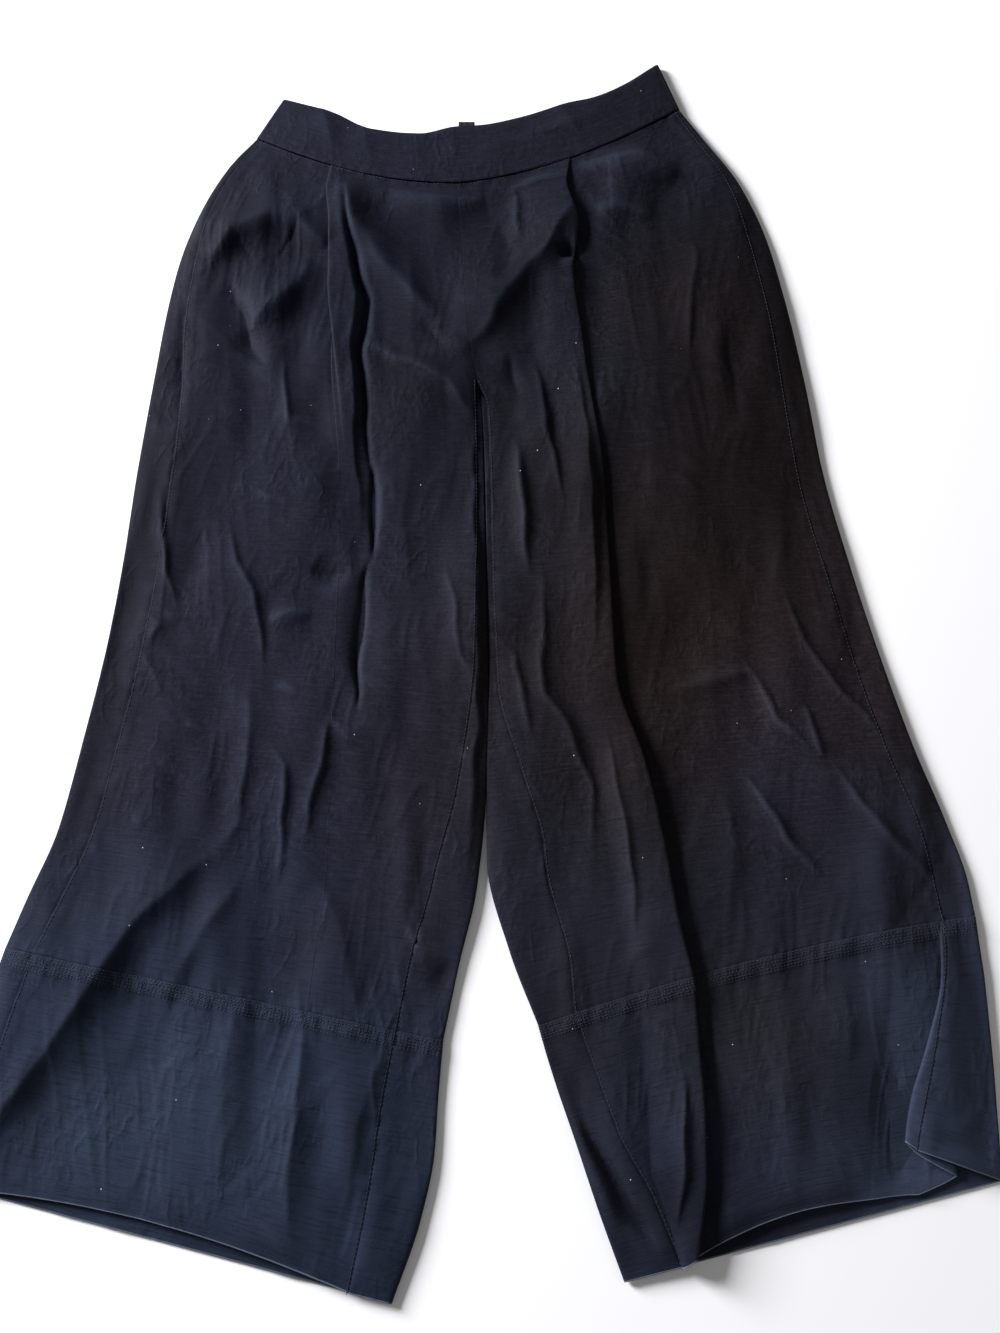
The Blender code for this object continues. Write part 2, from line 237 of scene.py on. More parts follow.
NICK = (0.9, 1.6, 3.4, 1)        # the smallest puckers are alike but for their paths
RIGHT_CREASES = creases((
    # the pleat's slack: bulge beside it, its deep line, and the drag towards the crotch
    (((-222, 290), (-203, 318), (-172, 333), (-146, 329), (-122, 300)), 12.0, 15, 20, 1.7),
    (((-203, 271), (-191, 246), (-185, 218), (-169, 197)), -3.0, 7, 7, 1.2),
    (((-190, 228), (-168, 250), (-148, 272), (-138, 296)), 6.0, 14, 16, 1.7),
    (((-113, 366), (-99, 287), (-91, 258), (-93, 214), (-88, 149), (-80, 100)), -5.0, 1.4, 3, 1.0),
    (((-80, 112), (-79, 60), (-79, 32)), -5.0, 1.6, 3, 1.0),
    (((-80, 28), (-86, 0), (-89, -42), (-86, -89)), -4.5, 1.6, 3, 1.0),
    (((-118, 360), (-106, 300), (-100, 262), (-101, 214), (-97, 150), (-90, 60)), 2.4, 9, 4.2, 1.3),
    (((-116, 376), (-102, 330), (-82, 300), (-58, 270), (-30, 238)), 9.0, 9, 26, 1.6),
    (((-76, 362), (-28, 350), (12, 352)), 7.0, 10, 30, 1.6),
    (((-89, 219), (-64, 201), (-52, 199), (-22, 181), (0, 149)), 2.6, 7, 3.6, 1),
    (((-45, 239), (-24, 212)), -1.4, 4, 4, 1.3),
    (((-155, 200), (-149, 149), (-119, 140)), 1.8, 3, 4.2, 1.1),
    (((-240, 250), (-241, 200), (-237, 150)), -1.0, 3, 4, 1.2),
    (((-263, 154), (-237, 147)), -1.2, 3, 4, 1.2),
    # thigh
    (((-173, 84), (-155, 79), (-140, 77)), *NICK),
    (((-249, 90), (-242, 40), (-228, -8)), 2.0, 2.4, 3.4, 1.0),
    (((-192, 58), (-184, 25), (-170, 3), (-167, -14), (-157, -59)), 2.0, 4, 3.4, 1),
    (((-237, -12), (-222, -22)), *NICK),
    (((-250, -16), (-238, -24), (-244, -40)), *NICK),
    (((-251, -46), (-230, -80)), *NICK),
    (((-20, 25), (-7, -51), (3, -76)), 1.6, 2.4, 3.6, 1.0),
    (((-50, 120), (-56, 60), (-48, 0)), 0.9, 9, 6, 1.4),
    (((0, 170), (1, 100), (3, 15), (5, -60), (3, -140), (-3, -215)), 3.2, 9, 3.6, 1.0),
    (((-127, 22), (-110, 17), (-93, 22)), -3.0, 9, 9, 1.6),
    (((-158, -20), (-141, -16), (-123, -15)), 2.0, 4, 12, 1.4),
    # knee
    (((-148, -70), (-130, -80)), *NICK),
    (((-215, -99), (-198, -105)), *NICK),
    (((-249, -170), (-238, -179)), *NICK),
    (((-108, -97), (-112, -134), (-119, -160), (-120, -190)), 2.2, 4, 3.2, 0.9),
    (((-108, -97), (-85, -119)), 1.8, 2.4, 4, 0.9),
    (((-149, -119), (-138, -134), (-136, -184), (-140, -216)), 2.4, 4, 3.2, 0.9),
    (((-7, -120), (2, -136)), *NICK),
    # the long fold from the knee to the outer hem corner
    (((-165, -70), (-166, -135), (-171, -176), (-182, -200)), 2.2, 9, 7, 1.3),
    (((-186, -196), (-230, -237), (-257, -273), (-293, -334), (-334, -388)), 6.0, 24, 14, 1.2),
    (((-165, -215), (-196, -262), (-215, -300)), 2.4, 12, 12, 1.6),
    (((-110, -215), (-90, -260), (-80, -310)), 2.2, 14, 12, 1.7),
    (((-25, -277), (-9, -295)), -2.2, 4, 5, 1.2),
    (((-45, -250), (-30, -268), (-14, -276)), 2.2, 3, 3, 1.1),
    # band
    (((-121, -286), (-118, -320), (-119, -370), (-123, -418), (-120, -450)), 2.8, 5, 12, 1.1),
    (((-160, -300), (-172, -350), (-166, -420)), 2.0, 16, 16, 1.8),
    (((-60, -330), (-78, -380), (-82, -440)), 1.8, 12, 10, 1.6),
    (((-230, -300), (-240, -350)), 1.2, 12, 14, 1.8),
    (((-300, -330), (-318, -372), (-330, -410)), 1.6, 8, 12, 1.5),
))
LEFT_CREASES = creases((
    # the pleat: bulge at its mouth, arch beside it and the fold down to the crotch
    (((84, 350), (64, 312), (42, 286), (26, 262), (14, 238), (-6, 212)), 6.5, 22, 15, 1.2),
    (((66, 305), (77, 301), (85, 293)), -6.0, 3, 7, 1.6),
    (((84, 386), (112, 392), (142, 388), (172, 374)), 9.0, 9, 30, 1.6),
    (((100, 346), (124, 346), (150, 336)), 3.0, 12, 16, 1.6),
    (((33, 362), (38, 312)), 1.9, 3, 4.8, 1.2),
    (((30, 362), (55, 372), (74, 372)), 2.9, 3, 5.4, 1.3),
    (((20, 330), (30, 300), (18, 268)), -1.5, 10, 8, 1.5),
    (((181, 314), (187, 299), (180, 273), (173, 199)), 1.7, 5, 3.6, 1),
    (((209, 236), (210, 190), (212, 150)), -1.2, 5, 6, 1.2),
    (((29, 205), (36, 172)), -1.6, 4, 5, 1.2),
    # between the inner edge and the pleat
    (((47, 200), (58, 150), (65, 103), (69, 76)), 2.3, 5, 3.4, 1.0),
    (((34, 130), (38, 80), (42, 20)), 3.1, 3, 5.4, 1.3),
    (((54, 20), (53, -80), (69, -100), (88, -148), (89, -200)), 2.4, 5, 5, 1.0),
    (((33, -45), (41, -110)), 1.9, 3, 3.6, 1.1),
    (((84, 200), (90, 120), (94, 40), (92, -40)), 2.6, 10, 4.8, 1.4),
    (((100, -110), (112, -180), (118, -250)), 2.4, 3, 5.4, 1.4),
    # the outer thigh and knee
    (((160, 210), (178, 120), (172, 30)), 1.3, 24, 24, 2.0),
    (((241, 0), (251, -37), (278, -75), (308, -114)), 2.0, 5, 3.6, 1.0),
    (((248, -87), (259, -129)), 1.8, 3, 3.6, 1.1),
    (((145, -75), (194, -65), (213, -62)), 1.8, 9, 12, 1.4),
    (((206, -55), (228, -100), (253, -124)), 2.2, 2.6, 4.2, 1.0),
    (((200, -138), (229, -186), (255, -218)), 2.3, 2.6, 5, 1.0),
    (((268, -136), (304, -184), (338, -220)), 2.4, 3, 5.4, 1.2),
    (((176, -120), (190, -190), (186, -250)), 1.6, 14, 14, 1.8),
    # band
    (((76, -374), (89, -401), (108, -436), (122, -461)), -5.5, 3.5, 5, 1.3),
    (((59, -347), (79, -399), (100, -450)), 4.0, 7, 7, 1.4),
    (((148, -350), (146, -400), (138, -445)), 2.4, 3, 3.6, 1.2),
    (((200, -300), (214, -360), (220, -400)), 1.3, 18, 18, 1.9),
    (((262, -290), (262, -340)), 1.2, 12, 12, 1.8),
))
print(len(RIGHT_CREASES), "and", len(LEFT_CREASES), "creases")

# %% [markdown]
# ## From a path to a ridge
#
# A crease is highest along its path and dies away at both ends. Pulled cloth slopes gently on one
# side and drops on the other, so the two sides have their own reach. Above the fork the fronts are
# sewn together, and the creases of both legs run across the seam.

# %% Crease heights
WIDE_SIDE, STEEP_SIDE = 1.6, 0.7   # how much of its reach each side of a crease takes
WANDER, WANDER_PATCH = 2.4, 24     # how far a crease strays from its path, and in what patches
CREST_RADIUS = 0.7
FORK, FORK_BLEND = 165.0, 40.0     # where the legs part, and over what height the creases are shared
CREASE_SETS = ((RIGHT_CREASES, 1.35), (LEFT_CREASES, 1.6))   # with the strength of each set
HIGHEST_FOLD = 14.0


def crease_height(x, y, table):
    """The sum of the creases over the points x, y."""
    strayed_x = x + WANDER * patches(x, y, WANDER_PATCH, WANDER_PATCH, 1)
    strayed_y = y + WANDER * patches(x, y, WANDER_PATCH, WANDER_PATCH, 2)
    total = np.zeros_like(x)
    for crease in table:
        away, side, share = along_path(strayed_x, strayed_y, np.array(crease.path, float))
        fade = np.sin(math.pi * np.clip(share, 0.02, 0.98)) ** 0.8
        reach = np.where(side < 0, WIDE_SIDE * crease.west, STEEP_SIDE * crease.east)
        away = np.maximum(np.hypot(away, CREST_RADIUS) - CREST_RADIUS, 0) / (reach * (0.4 + 0.6 * fade))
        total += crease.height * fade * np.exp(-away ** (0.5 + 0.5 * crease.crisp))
    return total


def run_of(path):
    """How far along a path each of its points is."""
    return np.concatenate([[0], np.cumsum(np.linalg.norm(np.diff(path, axis=0), axis=1))])


def along_path(x, y, path):
    """Distance from a path, the side of it (positive to the east or south), and the share along it."""
    starts = run_of(path)
    nearest = np.full(x.shape, np.inf)
    side = np.zeros_like(x)
    where = np.zeros_like(x)
    for (ax, ay), (bx, by), start, length in zip(path[:-1], path[1:], starts, np.diff(starts)):
        ux, uy = (bx - ax) / length, (by - ay) / length
        along = np.clip((x - ax) * ux + (y - ay) * uy, 0, length)
        dx, dy = x - ax - along * ux, y - ay - along * uy
        distance = np.hypot(dx, dy)
        closer = distance < nearest
        nearest = np.where(closer, distance, nearest)
        side = np.where(closer, dx * uy - dy * ux, side)
        where = np.where(closer, start + along, where)
    towards = 1 if (path[-1] - path[0]).sum() > 0 else -1
    return nearest, side * towards, where / starts[-1]


# %% [markdown]
# ## Unevenness
#
# Between the creases the cloth is never quite flat. Random values on a coarse lattice, joined
# smoothly, give patches of any size. Wide patches are slow swells; the zero lines of narrow ones
# make thin ridges, which show only where another, wider set of patches is high. One fixed seed gives
# the same cloth each time.

# %% Unevenness
LATTICE_SIZE = 256
LATTICE = np.random.default_rng(7).uniform(-1, 1, (LATTICE_SIZE, LATTICE_SIZE))


def patches(x, y, size_x, size_y, seed):
    """Smooth random values from -1 to 1, in patches of about this size."""
    u, v = x / size_x + 31.7 * seed, y / size_y + 11.3 * seed
    i, j = np.floor(u).astype(int), np.floor(v).astype(int)
    s, t = u - i, v - j
    s, t = s * s * (3 - 2 * s), t * t * (3 - 2 * t)
    i, j, right, below = i % LATTICE_SIZE, j % LATTICE_SIZE, (i + 1) % LATTICE_SIZE, (j + 1) % LATTICE_SIZE
    here = LATTICE[i, j] * (1 - s) + LATTICE[right, j] * s
    after = LATTICE[i, below] * (1 - s) + LATTICE[right, below] * s
    return here * (1 - t) + after * t


def ridges(x, y, size_x, size_y, seed, width):
    """Thin ridges of height 1 along the zero lines of the patches."""
    return np.maximum(1 - width * np.abs(patches(x, y, size_x, size_y, seed)), 0)


def crumple(x, y):
    """Broad swells, and crisp little ridges where the cloth has been squeezed."""
    wander = 5 * patches(x, y, 40, 60, 8)
    squeezed = patches(x, y, 30, 42, 9)
    long_creased = np.clip(0.3 + 1.3 * patches(x, y, 46, 80, 3), 0, 1)
    short_creased = np.clip(0.1 + 1.6 * squeezed, 0, 1)
    slant_creased = np.clip(-1.4 * squeezed, 0, 1)
    swell = 2.6 * patches(x, y, 48, 90, 4) + 1.4 * patches(x + wander, y, 19, 60, 5)
    return (swell + 0.45 * long_creased * ridges(x + 0.12 * y + wander, y, 11, 120, 6, 2.0)
            + 0.5 * short_creased * ridges(x - 0.2 * y - 2 * wander, y, 9, 40, 7, 2.2)
            + 0.6 * slant_creased * ridges(x + 2 * wander, 0.8 * x + y, 60, 13, 10, 2.4))


print("lattice of", LATTICE.size, "random values")

# %% [markdown]
# ## Walking across a panel
#
# Going across the top of a leg from its outer edge, the cloth is level, doubles under itself at the
# pleat, and goes on. That walk is a chain of control points, and a cubic spline through them rounds
# it into the soft hairpins of real cloth. Every row of a panel uses the same number of points, so
# the rows join into one even grid.

# %% Walks
POINTS_PER_TURN = 1.6        # extra points for each millimetre that a hairpin climbs
FINE_STEPS = 2400            # steps in which a walk is measured before its points are chosen


def spline_weights(count, wanted):
    """Weights of a clamped cubic spline with this many control points."""
    degree = 3
    inner = np.linspace(0, 1, count - degree + 1)
    knots = np.concatenate([np.zeros(degree), inner, np.ones(degree)])
    wanted = np.clip(wanted, 0, 1 - 1e-9)[:, None]
    basis = ((knots[:-1] <= wanted) & (wanted < knots[1:])).astype(float)
    for k in range(1, degree + 1):
        before, after = knots[k:-1] - knots[:-k - 1], knots[k + 1:] - knots[1:-k]
        rising = (wanted - knots[:-k - 1]) / np.where(before > 0, before, np.inf)
        falling = (knots[k + 1:] - wanted) / np.where(after > 0, after, np.inf)
        basis = rising * basis[:, :-1] + falling * basis[:, 1:]
    return basis


class Walk:
    """Control points across a panel. Each holds one value for every row:

    across: distance in from the outer edge; height: above the front's own level; top: 1 where the
    cloth is part of the top layer and takes its creases; up: how far it is pulled towards the waist.
    """

    def __init__(self, rows):
        self.rows = rows
        self.points = []

    def add(self, across, height, top=1.0, up=0.0):
        zero = np.zeros(self.rows)
        self.points.append(np.stack([across + zero, height + zero, top + zero, up + zero], 1))

    def spread(self, end, count, height=0.0, top=1.0):
        """Evenly spaced points from the last one to this distance."""
        start = self.points[-1][:, 0]
        for k in range(1, count + 1):
            self.add(start + (end - start) * k / count, height, top)

    def curve(self, spacing):
        """The walk as a spline, with points no further apart than this and more at each turn."""
        controls = np.stack(self.points, axis=1)
        fine = np.linspace(0, 1, FINE_STEPS)
        shape = np.einsum("tk,rkc->rtc", spline_weights(controls.shape[1], fine), controls)
        steps = np.linalg.norm(np.diff(shape[..., :2], axis=1), axis=2).max(axis=0)
        climbs = np.abs(np.diff(shape[..., 1], axis=1)).max(axis=0)
        cost = np.concatenate([[0], np.cumsum(steps / spacing + climbs * POINTS_PER_TURN)])
        even = np.interp(np.linspace(0, cost[-1], int(cost[-1]) + 2), cost, fine)
        near_rim = np.array([0.15, 0.35, 0.65])
        chosen = np.concatenate([even[:1], even[0] + (even[1] - even[0]) * near_rim, even[1:-1],
                                 even[-1] - (even[-1] - even[-2]) * near_rim[::-1], even[-1:]])
        return np.einsum("tk,rkc->rtc", spline_weights(controls.shape[1], chosen), controls)


print("a walk has more points at each turn:", POINTS_PER_TURN, "for each millimetre climbed")

# %% [markdown]
# ## One leg
#
# A leg tube has two panels. The front's walk starts at the side seam, folds over at the pleat and
# ends at the inseam. The back's walk starts on top too, because the seams roll forwards: it turns
# round the outer edge, crosses the ground, and comes up round the inner edge.

# %% Legs
NOT_AN_EDGE = 60.0           # added to a distance where the fronts are joined, so nothing dips there


def section_line(outer, inner, sag, share):
    """How far up a section lies at this share of its width: a straight line with a sag."""
    return outer * (1 - share) + inner * share + sag * 4 * share * (1 - share)


class Leg:
    """One leg tube, or the band round its hem, as a family of cross-sections."""

    def __init__(self, table, inward, crease_table):
        self.table = table
        self.inward = inward
        self.crease_table = crease_table

    def row(self, down):
        row = sections(self.table, down)
        return row, np.abs(row.inner_x - row.outer_x)

    def place(self, row, width, across, up, front):
        """Where points this far in from the outer edge lie, seen from above."""
        share = across / width[:, None]
        y = section_line(row.outer_y[:, None], row.inner_y[:, None], row.sag[:, None], share) + up
        if front:
            between = width - row.side_strip - row.inner_strip
            inside = np.clip((across - row.side_strip[:, None]) / between[:, None], 0, 1)
            y = y + row.front_short[:, None] * 4 * inside * (1 - inside)
        return row.outer_x[:, None] + self.inward * across, y

    def relief(self, row, width, across, x, y):
        """How far the top layer stands above its level at the edge: the loft and the creases."""
        outer = across - row.flat[:, None]
        inner = width[:, None] - across + NOT_AN_EDGE * (1 - row.closed)[:, None]
        edge = np.maximum(np.minimum(outer, inner), 0)
        calm = 1 - 0.75 * np.exp(-np.maximum(np.minimum(across, inner), 0) / 5)
        swell = (1 - np.exp(-edge / LOFT_REACH)) * (1 - 0.5 * np.exp(-np.maximum(inner, 0) / 12))
        return swell * LOFT, calm * (self.creased(x, y) + crumple(x, y))

    def creased(self, x, y):
        """This leg's own creases, and above the fork the other leg's too, so they cross the front seam."""
        shared = np.clip((y - FORK) / FORK_BLEND, 0, 1)
        total = np.zeros_like(x)
        for table, strength in CREASE_SETS:
            own = table is self.crease_table
            total += strength * crease_height(x, y, table) * (1 if own else shared)
        return HIGHEST_FOLD * np.tanh(total / HIGHEST_FOLD)

    def front_walk(self, row, width):
        start = row.side_strip + SEAM_GAP / 2
        end = width - row.inner_strip - SEAM_GAP / 2
        walk = Walk(len(width))
        if row.flap_in.any():
            self.add_flap(walk, row, start)
        else:
            walk.add(start, 0)
        if row.pleat_x.any():
            self.add_pleat(walk, row, end)
        walk.spread(end, 8)
        return walk

    def add_flap(self, walk, row, start):
        """The band's outer corner, folded inwards over itself and skewed towards the waist."""
        edge, turn = row.flap_in, row.flap_in - row.flap_depth
        lift, up = FOLD_LIFT * row.flap_rise, row.flap_up
        walk.add(start, 2 * lift, up=up * start / edge)
        walk.add((start + edge) / 2, 2 * lift, up=up * (start + edge) / 2 / edge)
        walk.add(edge, 2 * lift, up=up)
        walk.add(edge, lift, up=up)
        walk.add((edge + turn) / 2, lift, up=0.6 * up)
        walk.add(turn, lift, up=0.28 * up)
        walk.add(turn, 0, up=0.28 * up)
        walk.add(turn + 8, 0, up=0.2 * up)
        walk.add(edge + 4, 0, up=0.1 * up)

    def add_pleat(self, walk, row, end):
        """Three layers: out to the hidden turn, back to the edge that shows, and on."""
        edge = np.abs(row.pleat_x - row.outer_x)
        depth, lift = row.pleat_depth, FOLD_LIFT * row.pleat_rise
        over = edge + np.maximum(depth, 0)
        room = np.minimum(26, 0.8 * (end - over))
        walk.spread(edge - 10, 6)
        walk.add(edge + depth * 0.5, 0)
        walk.add(edge + depth, 0)
        walk.add(edge + depth, lift)
        walk.add(edge + depth * 0.5, lift)
        walk.add(edge, lift)
        walk.add(edge, 2 * lift)
        walk.add(edge + 3, 2 * lift)
        walk.add(over + 0.35 * room, 1.6 * lift)
        walk.add(over + room, 0)

    def back_walk(self, row, width):
        lift = 2 * FOLD_LIFT * row.flap_rise
        strip = row.side_strip - SEAM_GAP / 2
        skew = np.where(row.flap_in > 0, row.flap_up / np.maximum(row.flap_in, 1), 0)
        turn = np.where(row.flap_in > 0, row.flap_in - np.maximum(row.flap_depth, 0), strip)
        knee = np.minimum(turn, strip)
        walk = Walk(len(width))
        walk.add(strip, lift, 1, skew * strip)
        walk.add((strip + knee) / 2, lift, 1, skew * (strip + knee) / 2)
        walk.add(0.7 * knee, 0.75 * lift, 1, 0.7 * skew * knee)
        walk.add(np.minimum(0.45 * knee, 6), 0.1 * lift, 1, skew * np.minimum(0.45 * knee, 6))
        for across, height, top in ((0.3, 0, 0.6), (-0.2, -EDGE_LIFT / 2, 0.3), (0.3, -EDGE_LIFT, 0),
                                    (5, -EDGE_LIFT, 0)):
            walk.add(across, height, top)
        walk.spread(width - 14, 8, -EDGE_LIFT, 0)
        self.add_inner_turn(walk, row, width)
        return walk

    def add_inner_turn(self, walk, row, width):
        """Round the inner edge and up on to the front; above the fork it stays flat on the ground."""
        closed = row.closed
        strip = np.maximum(row.inner_strip - SEAM_GAP / 2, 0)
        # in from the inner edge while flat, the same once turned, height, share of the top layer
        for flat, turned, height, top in (
                (8, 5, -EDGE_LIFT, 0), (1.2, 0.3, -EDGE_LIFT, 0), (0.9, -0.2, -EDGE_LIFT / 2, 0),
                (0.7, 0.3, 0, 0.6), (0.5, 0.3 * strip, 0, 1), (0.3, 0.65 * strip, 0, 1),
                (SEAM_GAP / 2, strip, 0, 1)):
            across = width - (flat * (1 - closed) + turned * closed)
            walk.add(across, height * closed - EDGE_LIFT * (1 - closed), top * closed)


print("joined edges are kept level over", NOT_AN_EDGE, "mm")

# %% [markdown]
# ## Seams
#
# A pressed seam is a narrow trough with a soft ridge beside it, where the seam allowance lies folded
# underneath. A topstitched seam also gathers a little, because the thread pulls the cloth up between
# the stitches. Both are added to the height of a panel near its edges.

# %% Seams
BAND_SEAM, HEM = 715.0, 882.0      # stations of the band seam and of the hem
SIDE_ALLOWANCE, BAND_ALLOWANCE, WAIST_ALLOWANCE, NO_ALLOWANCE = 9, 10.5, 4, 0.1
SEAM_TROUGH, SEAM_RIDGE = 0.2, 0.35
WAIST_HELD = 17.0            # how far below the waist seam the cloth begins to move freely
Gathers = namedtuple("Gathers", "height middle reach size_x size_y seed")
SIDE_GATHERS = Gathers(0.30, 0, 6, 9, 3.2, 11)
STITCHED_GATHERS = Gathers(0.40, 6, 5.5, 3.4, 9, 13)
BAND_GATHERS = Gathers(0.45, 14, 9, 7, 26, 14)
LEG_END_GATHERS = Gathers(0.40, 0, 7, 3.4, 16, 15)
HEM_GATHERS = Gathers(0.50, 0, 5, 13, 20, 17)
LEG_TOP_GATHERS = Gathers(0.35, 2, 6, 6, 22, 19)
WAISTBAND_GATHERS = Gathers(0.22, 0, 6, 5, 30, 23)


def bell(distance, reach):
    """1 at the seam, and fading away from it."""
    return np.exp(-(distance / reach) ** 2)


def seam_profile(distance, allowance):
    """Height beside a seam: the trough, and the ridge of the allowance up to its edge."""
    ridge = SEAM_RIDGE / (1 + np.exp(np.clip((distance - allowance) / 0.8, -30, 30)))
    return ridge - SEAM_TROUGH * bell(distance, 1.0)


def puckers(x, y, distance, gathers):
    """Small gathers that fade away from the stitching."""
    ripple = patches(x, y, gathers.size_x, gathers.size_y, gathers.seed)
    ripple += 0.5 * patches(x, y, gathers.size_x * 0.6, gathers.size_y, gathers.seed + 1)
    return gathers.height * ripple * bell(distance - gathers.middle, gathers.reach)


def waist_ease(distance):
    """The cloth is held flat at the waist seam and is free a little way below it."""
    return 0.06 + 0.94 * (1 - bell(distance, WAIST_HELD))


print("seam allowances in mm:", SIDE_ALLOWANCE, BAND_ALLOWANCE, WAIST_ALLOWANCE)

# %% [markdown]
# ## Panels
#
# A sheet is a grid of points through the middle of the cloth: a row for each station, and a column
# for each step of the walk. It also keeps what the finish needs to know at each point: how much it
# stands out as a crest, how far it is from the hem, and whether it lies under the stitching.

# %% Panels
ROLL = np.array([0, 0.35, 0.8, 1.4, 2.2, 3.2, 4.6, 6.4])   # distances of the rows nearest a seam
STITCHED_MIDDLE, STITCHED_HALF = 6, 4.8                    # the stitched stretch of a band
BACK_RELIEF = 0.8            # how much of the unevenness the back layer takes
HEM_PRESSED = 0.6            # share of the relief that is pressed out at the hem
CREST_GAIN = 1.6
Sheet = namedtuple("Sheet", "points crest to_hem stitched outside")


def rows_down(start, end, spacing):
    """Stations down a panel, closer together beside the seam at each end."""
    count = int((end - start - 2 * ROLL[-1]) / spacing)
    inside = np.linspace(start + ROLL[-1], end - ROLL[-1], count)[1:-1]
    return np.concatenate([start + ROLL, inside, (end - ROLL)[::-1]])


def cloth_lengths(points):
    """Distances along the cloth, across and down, measured on the grid itself."""
    across = np.linalg.norm(np.diff(points, axis=1), axis=2)
    down = np.linalg.norm(np.diff(points, axis=0), axis=2).mean(axis=1)
    u = np.concatenate([np.zeros((len(points), 1)), np.cumsum(across, axis=1)], axis=1)
    v = np.concatenate([[0], np.cumsum(down)])
    return u, np.repeat(v[:, None], points.shape[1], axis=1)


def crest_of(relief):
    """How far each point stands out from the mean of its neighbourhood, from -1 to 1."""
    radius = 3
    mean = relief
    for axis in (0, 1):
        total = np.zeros_like(mean)
        for step in range(-radius, radius + 1):
            index = np.clip(np.arange(mean.shape[axis]) + step, 0, mean.shape[axis] - 1)
            total += np.take(mean, index, axis=axis)
        mean = total / (2 * radius + 1)
    return np.clip((relief - mean) * CREST_GAIN, -1, 1)


def band_relief(x, y, relief, to_start, to_end):
    """A hem band: gathered under its rows of stitches, fuller below them and pressed at the hem."""
    stitched = np.exp(-((to_start - STITCHED_MIDDLE) / STITCHED_HALF) ** 6)
    relief = relief + seam_profile(to_start, BAND_ALLOWANCE) + 0.25 * stitched
    relief += puckers(x, y, to_start, STITCHED_GATHERS) + puckers(x, y, to_start, BAND_GATHERS)
    relief += puckers(x, y, to_end, HEM_GATHERS)
    return relief * (1 - HEM_PRESSED * bell(to_end, 10)), stitched


def leg_relief(x, y, relief, to_start, to_end):
    """A leg panel: let in at the waist seam, and drawn up a little at the band seam."""
    relief = relief + seam_profile(to_start, WAIST_ALLOWANCE) + seam_profile(to_end, NO_ALLOWANCE)
    relief -= 0.7 * bell(to_start, 1.1)
    relief += puckers(x, y, to_end, LEG_END_GATHERS) + puckers(x, y, to_start, LEG_TOP_GATHERS)
    return relief, np.zeros_like(x)


def panel(leg, front, start, end, spacing):
    """The sheet of a leg panel between two stations."""
    row, width = leg.row(rows_down(start, end, spacing[0]))
    walk = leg.front_walk(row, width) if front else leg.back_walk(row, width)
    across, height, top, up = np.moveaxis(walk.curve(spacing[1]), 2, 0)
    x, y = leg.place(row, width, across, up, front)
    u, to_start = cloth_lengths(np.stack([x, y, height], axis=2))
    to_end = to_start[-1] - to_start
    to_side = np.minimum(u, u[:, -1:] - u + NOT_AN_EDGE * (1 - row.closed)[:, None])
    is_band = start > BAND_SEAM
    loft, folds = leg.relief(row, width, across, x, y)
    relief = loft + folds * (1.0 if is_band else waist_ease(to_start))
    relief += seam_profile(to_side, SIDE_ALLOWANCE) + puckers(x, y, to_side, SIDE_GATHERS)
    relief, stitched = (band_relief if is_band else leg_relief)(x, y, relief, to_start, to_end)
    z = np.maximum(FLOOR_LAYER + EDGE_LIFT + height + top * relief, FLOOR_LAYER)
    if not front:
        z = z + (1 - top) * BACK_RELIEF * np.maximum(0.6 * crumple(x + 300, y), 0)
    to_hem = to_end + (0 if is_band else HEM - BAND_SEAM)
    sheet = Sheet(np.stack([x, y, z], axis=2), crest_of(relief), to_hem, stitched, 1 if front else -1)
    return mirrored(sheet) if leg.inward < 0 else sheet


def mirrored(sheet):
    """The same sheet with its columns in the other order, so that its faces turn over."""
    return Sheet(*[grid[:, ::-1] for grid in sheet[:4]], sheet.outside)


print("rows start", ROLL, "mm from each seam")

# %% [markdown]
# ## Uneven fading, painted shade and painted light
#
# The dye has not faded evenly: some areas have stayed nearly black, others have turned browner or bluer.
# Other patches are painted shade, darkening folds and strips that lie in shade, and painted light,
# brightening strips that the light falls on. Each row is one soft patch, its middle and reach over the
# garment, and how much of the red, green and blue it leaves.

# %% Fading, painted shade and light
Fade = namedtuple("Fade", "x y reach_x reach_y red green blue")
FADE_SHADE_AND_LIGHT = [Fade(*row) for row in (
    (-205, 330, 48, 60, 0.48, 0.51, 0.53),
    (-275, 60, 44, 260, 0.20, 0.22, 0.29),
    (-312, -230, 34, 110, 0.52, 0.54, 0.60),
    (-60, 175, 45, 50, 0.80, 0.74, 0.64),
    (-25, -170, 50, 170, 1.22, 1.00, 0.86),
    (-115, -265, 50, 50, 0.88, 0.74, 0.70),
    (-235, -385, 110, 70, 1.40, 1.45, 1.35),
    (122, -60, 80, 190, 1.00, 0.85, 0.62),
    (60, -320, 48, 100, 0.62, 0.50, 0.42),
    (225, -95, 55, 100, 1.75, 1.70, 1.75),
    (106, 235, 44, 95, 1.65, 1.85, 2.00),
    (215, -130, 70, 60, 0.98, 1.14, 1.35),
    (140, -435, 45, 40, 0.50, 0.48, 0.46),
    (320, -245, 35, 45, 0.62, 0.56, 0.48),
    (298, 10, 30, 120, 1.80, 1.90, 2.10),
    (200, -320, 70, 60, 1.05, 0.92, 0.72),
    (255, -415, 60, 35, 1.40, 1.45, 1.45),
)]


def fade_shade_and_light(x, y):
    """The share of red, green and blue that is left at each point."""
    left = np.ones(x.shape + (3,))
    for fade in FADE_SHADE_AND_LIGHT:
        patch = np.exp(-((x - fade.x) / fade.reach_x) ** 2 - ((y - fade.y) / fade.reach_y) ** 2)
        left *= 1 + (np.array([fade.red, fade.green, fade.blue]) - 1) * patch[..., None]
    return left


# the patches are uneven dye, painted shade and painted light
print(len(FADE_SHADE_AND_LIGHT), "patches of uneven dye")

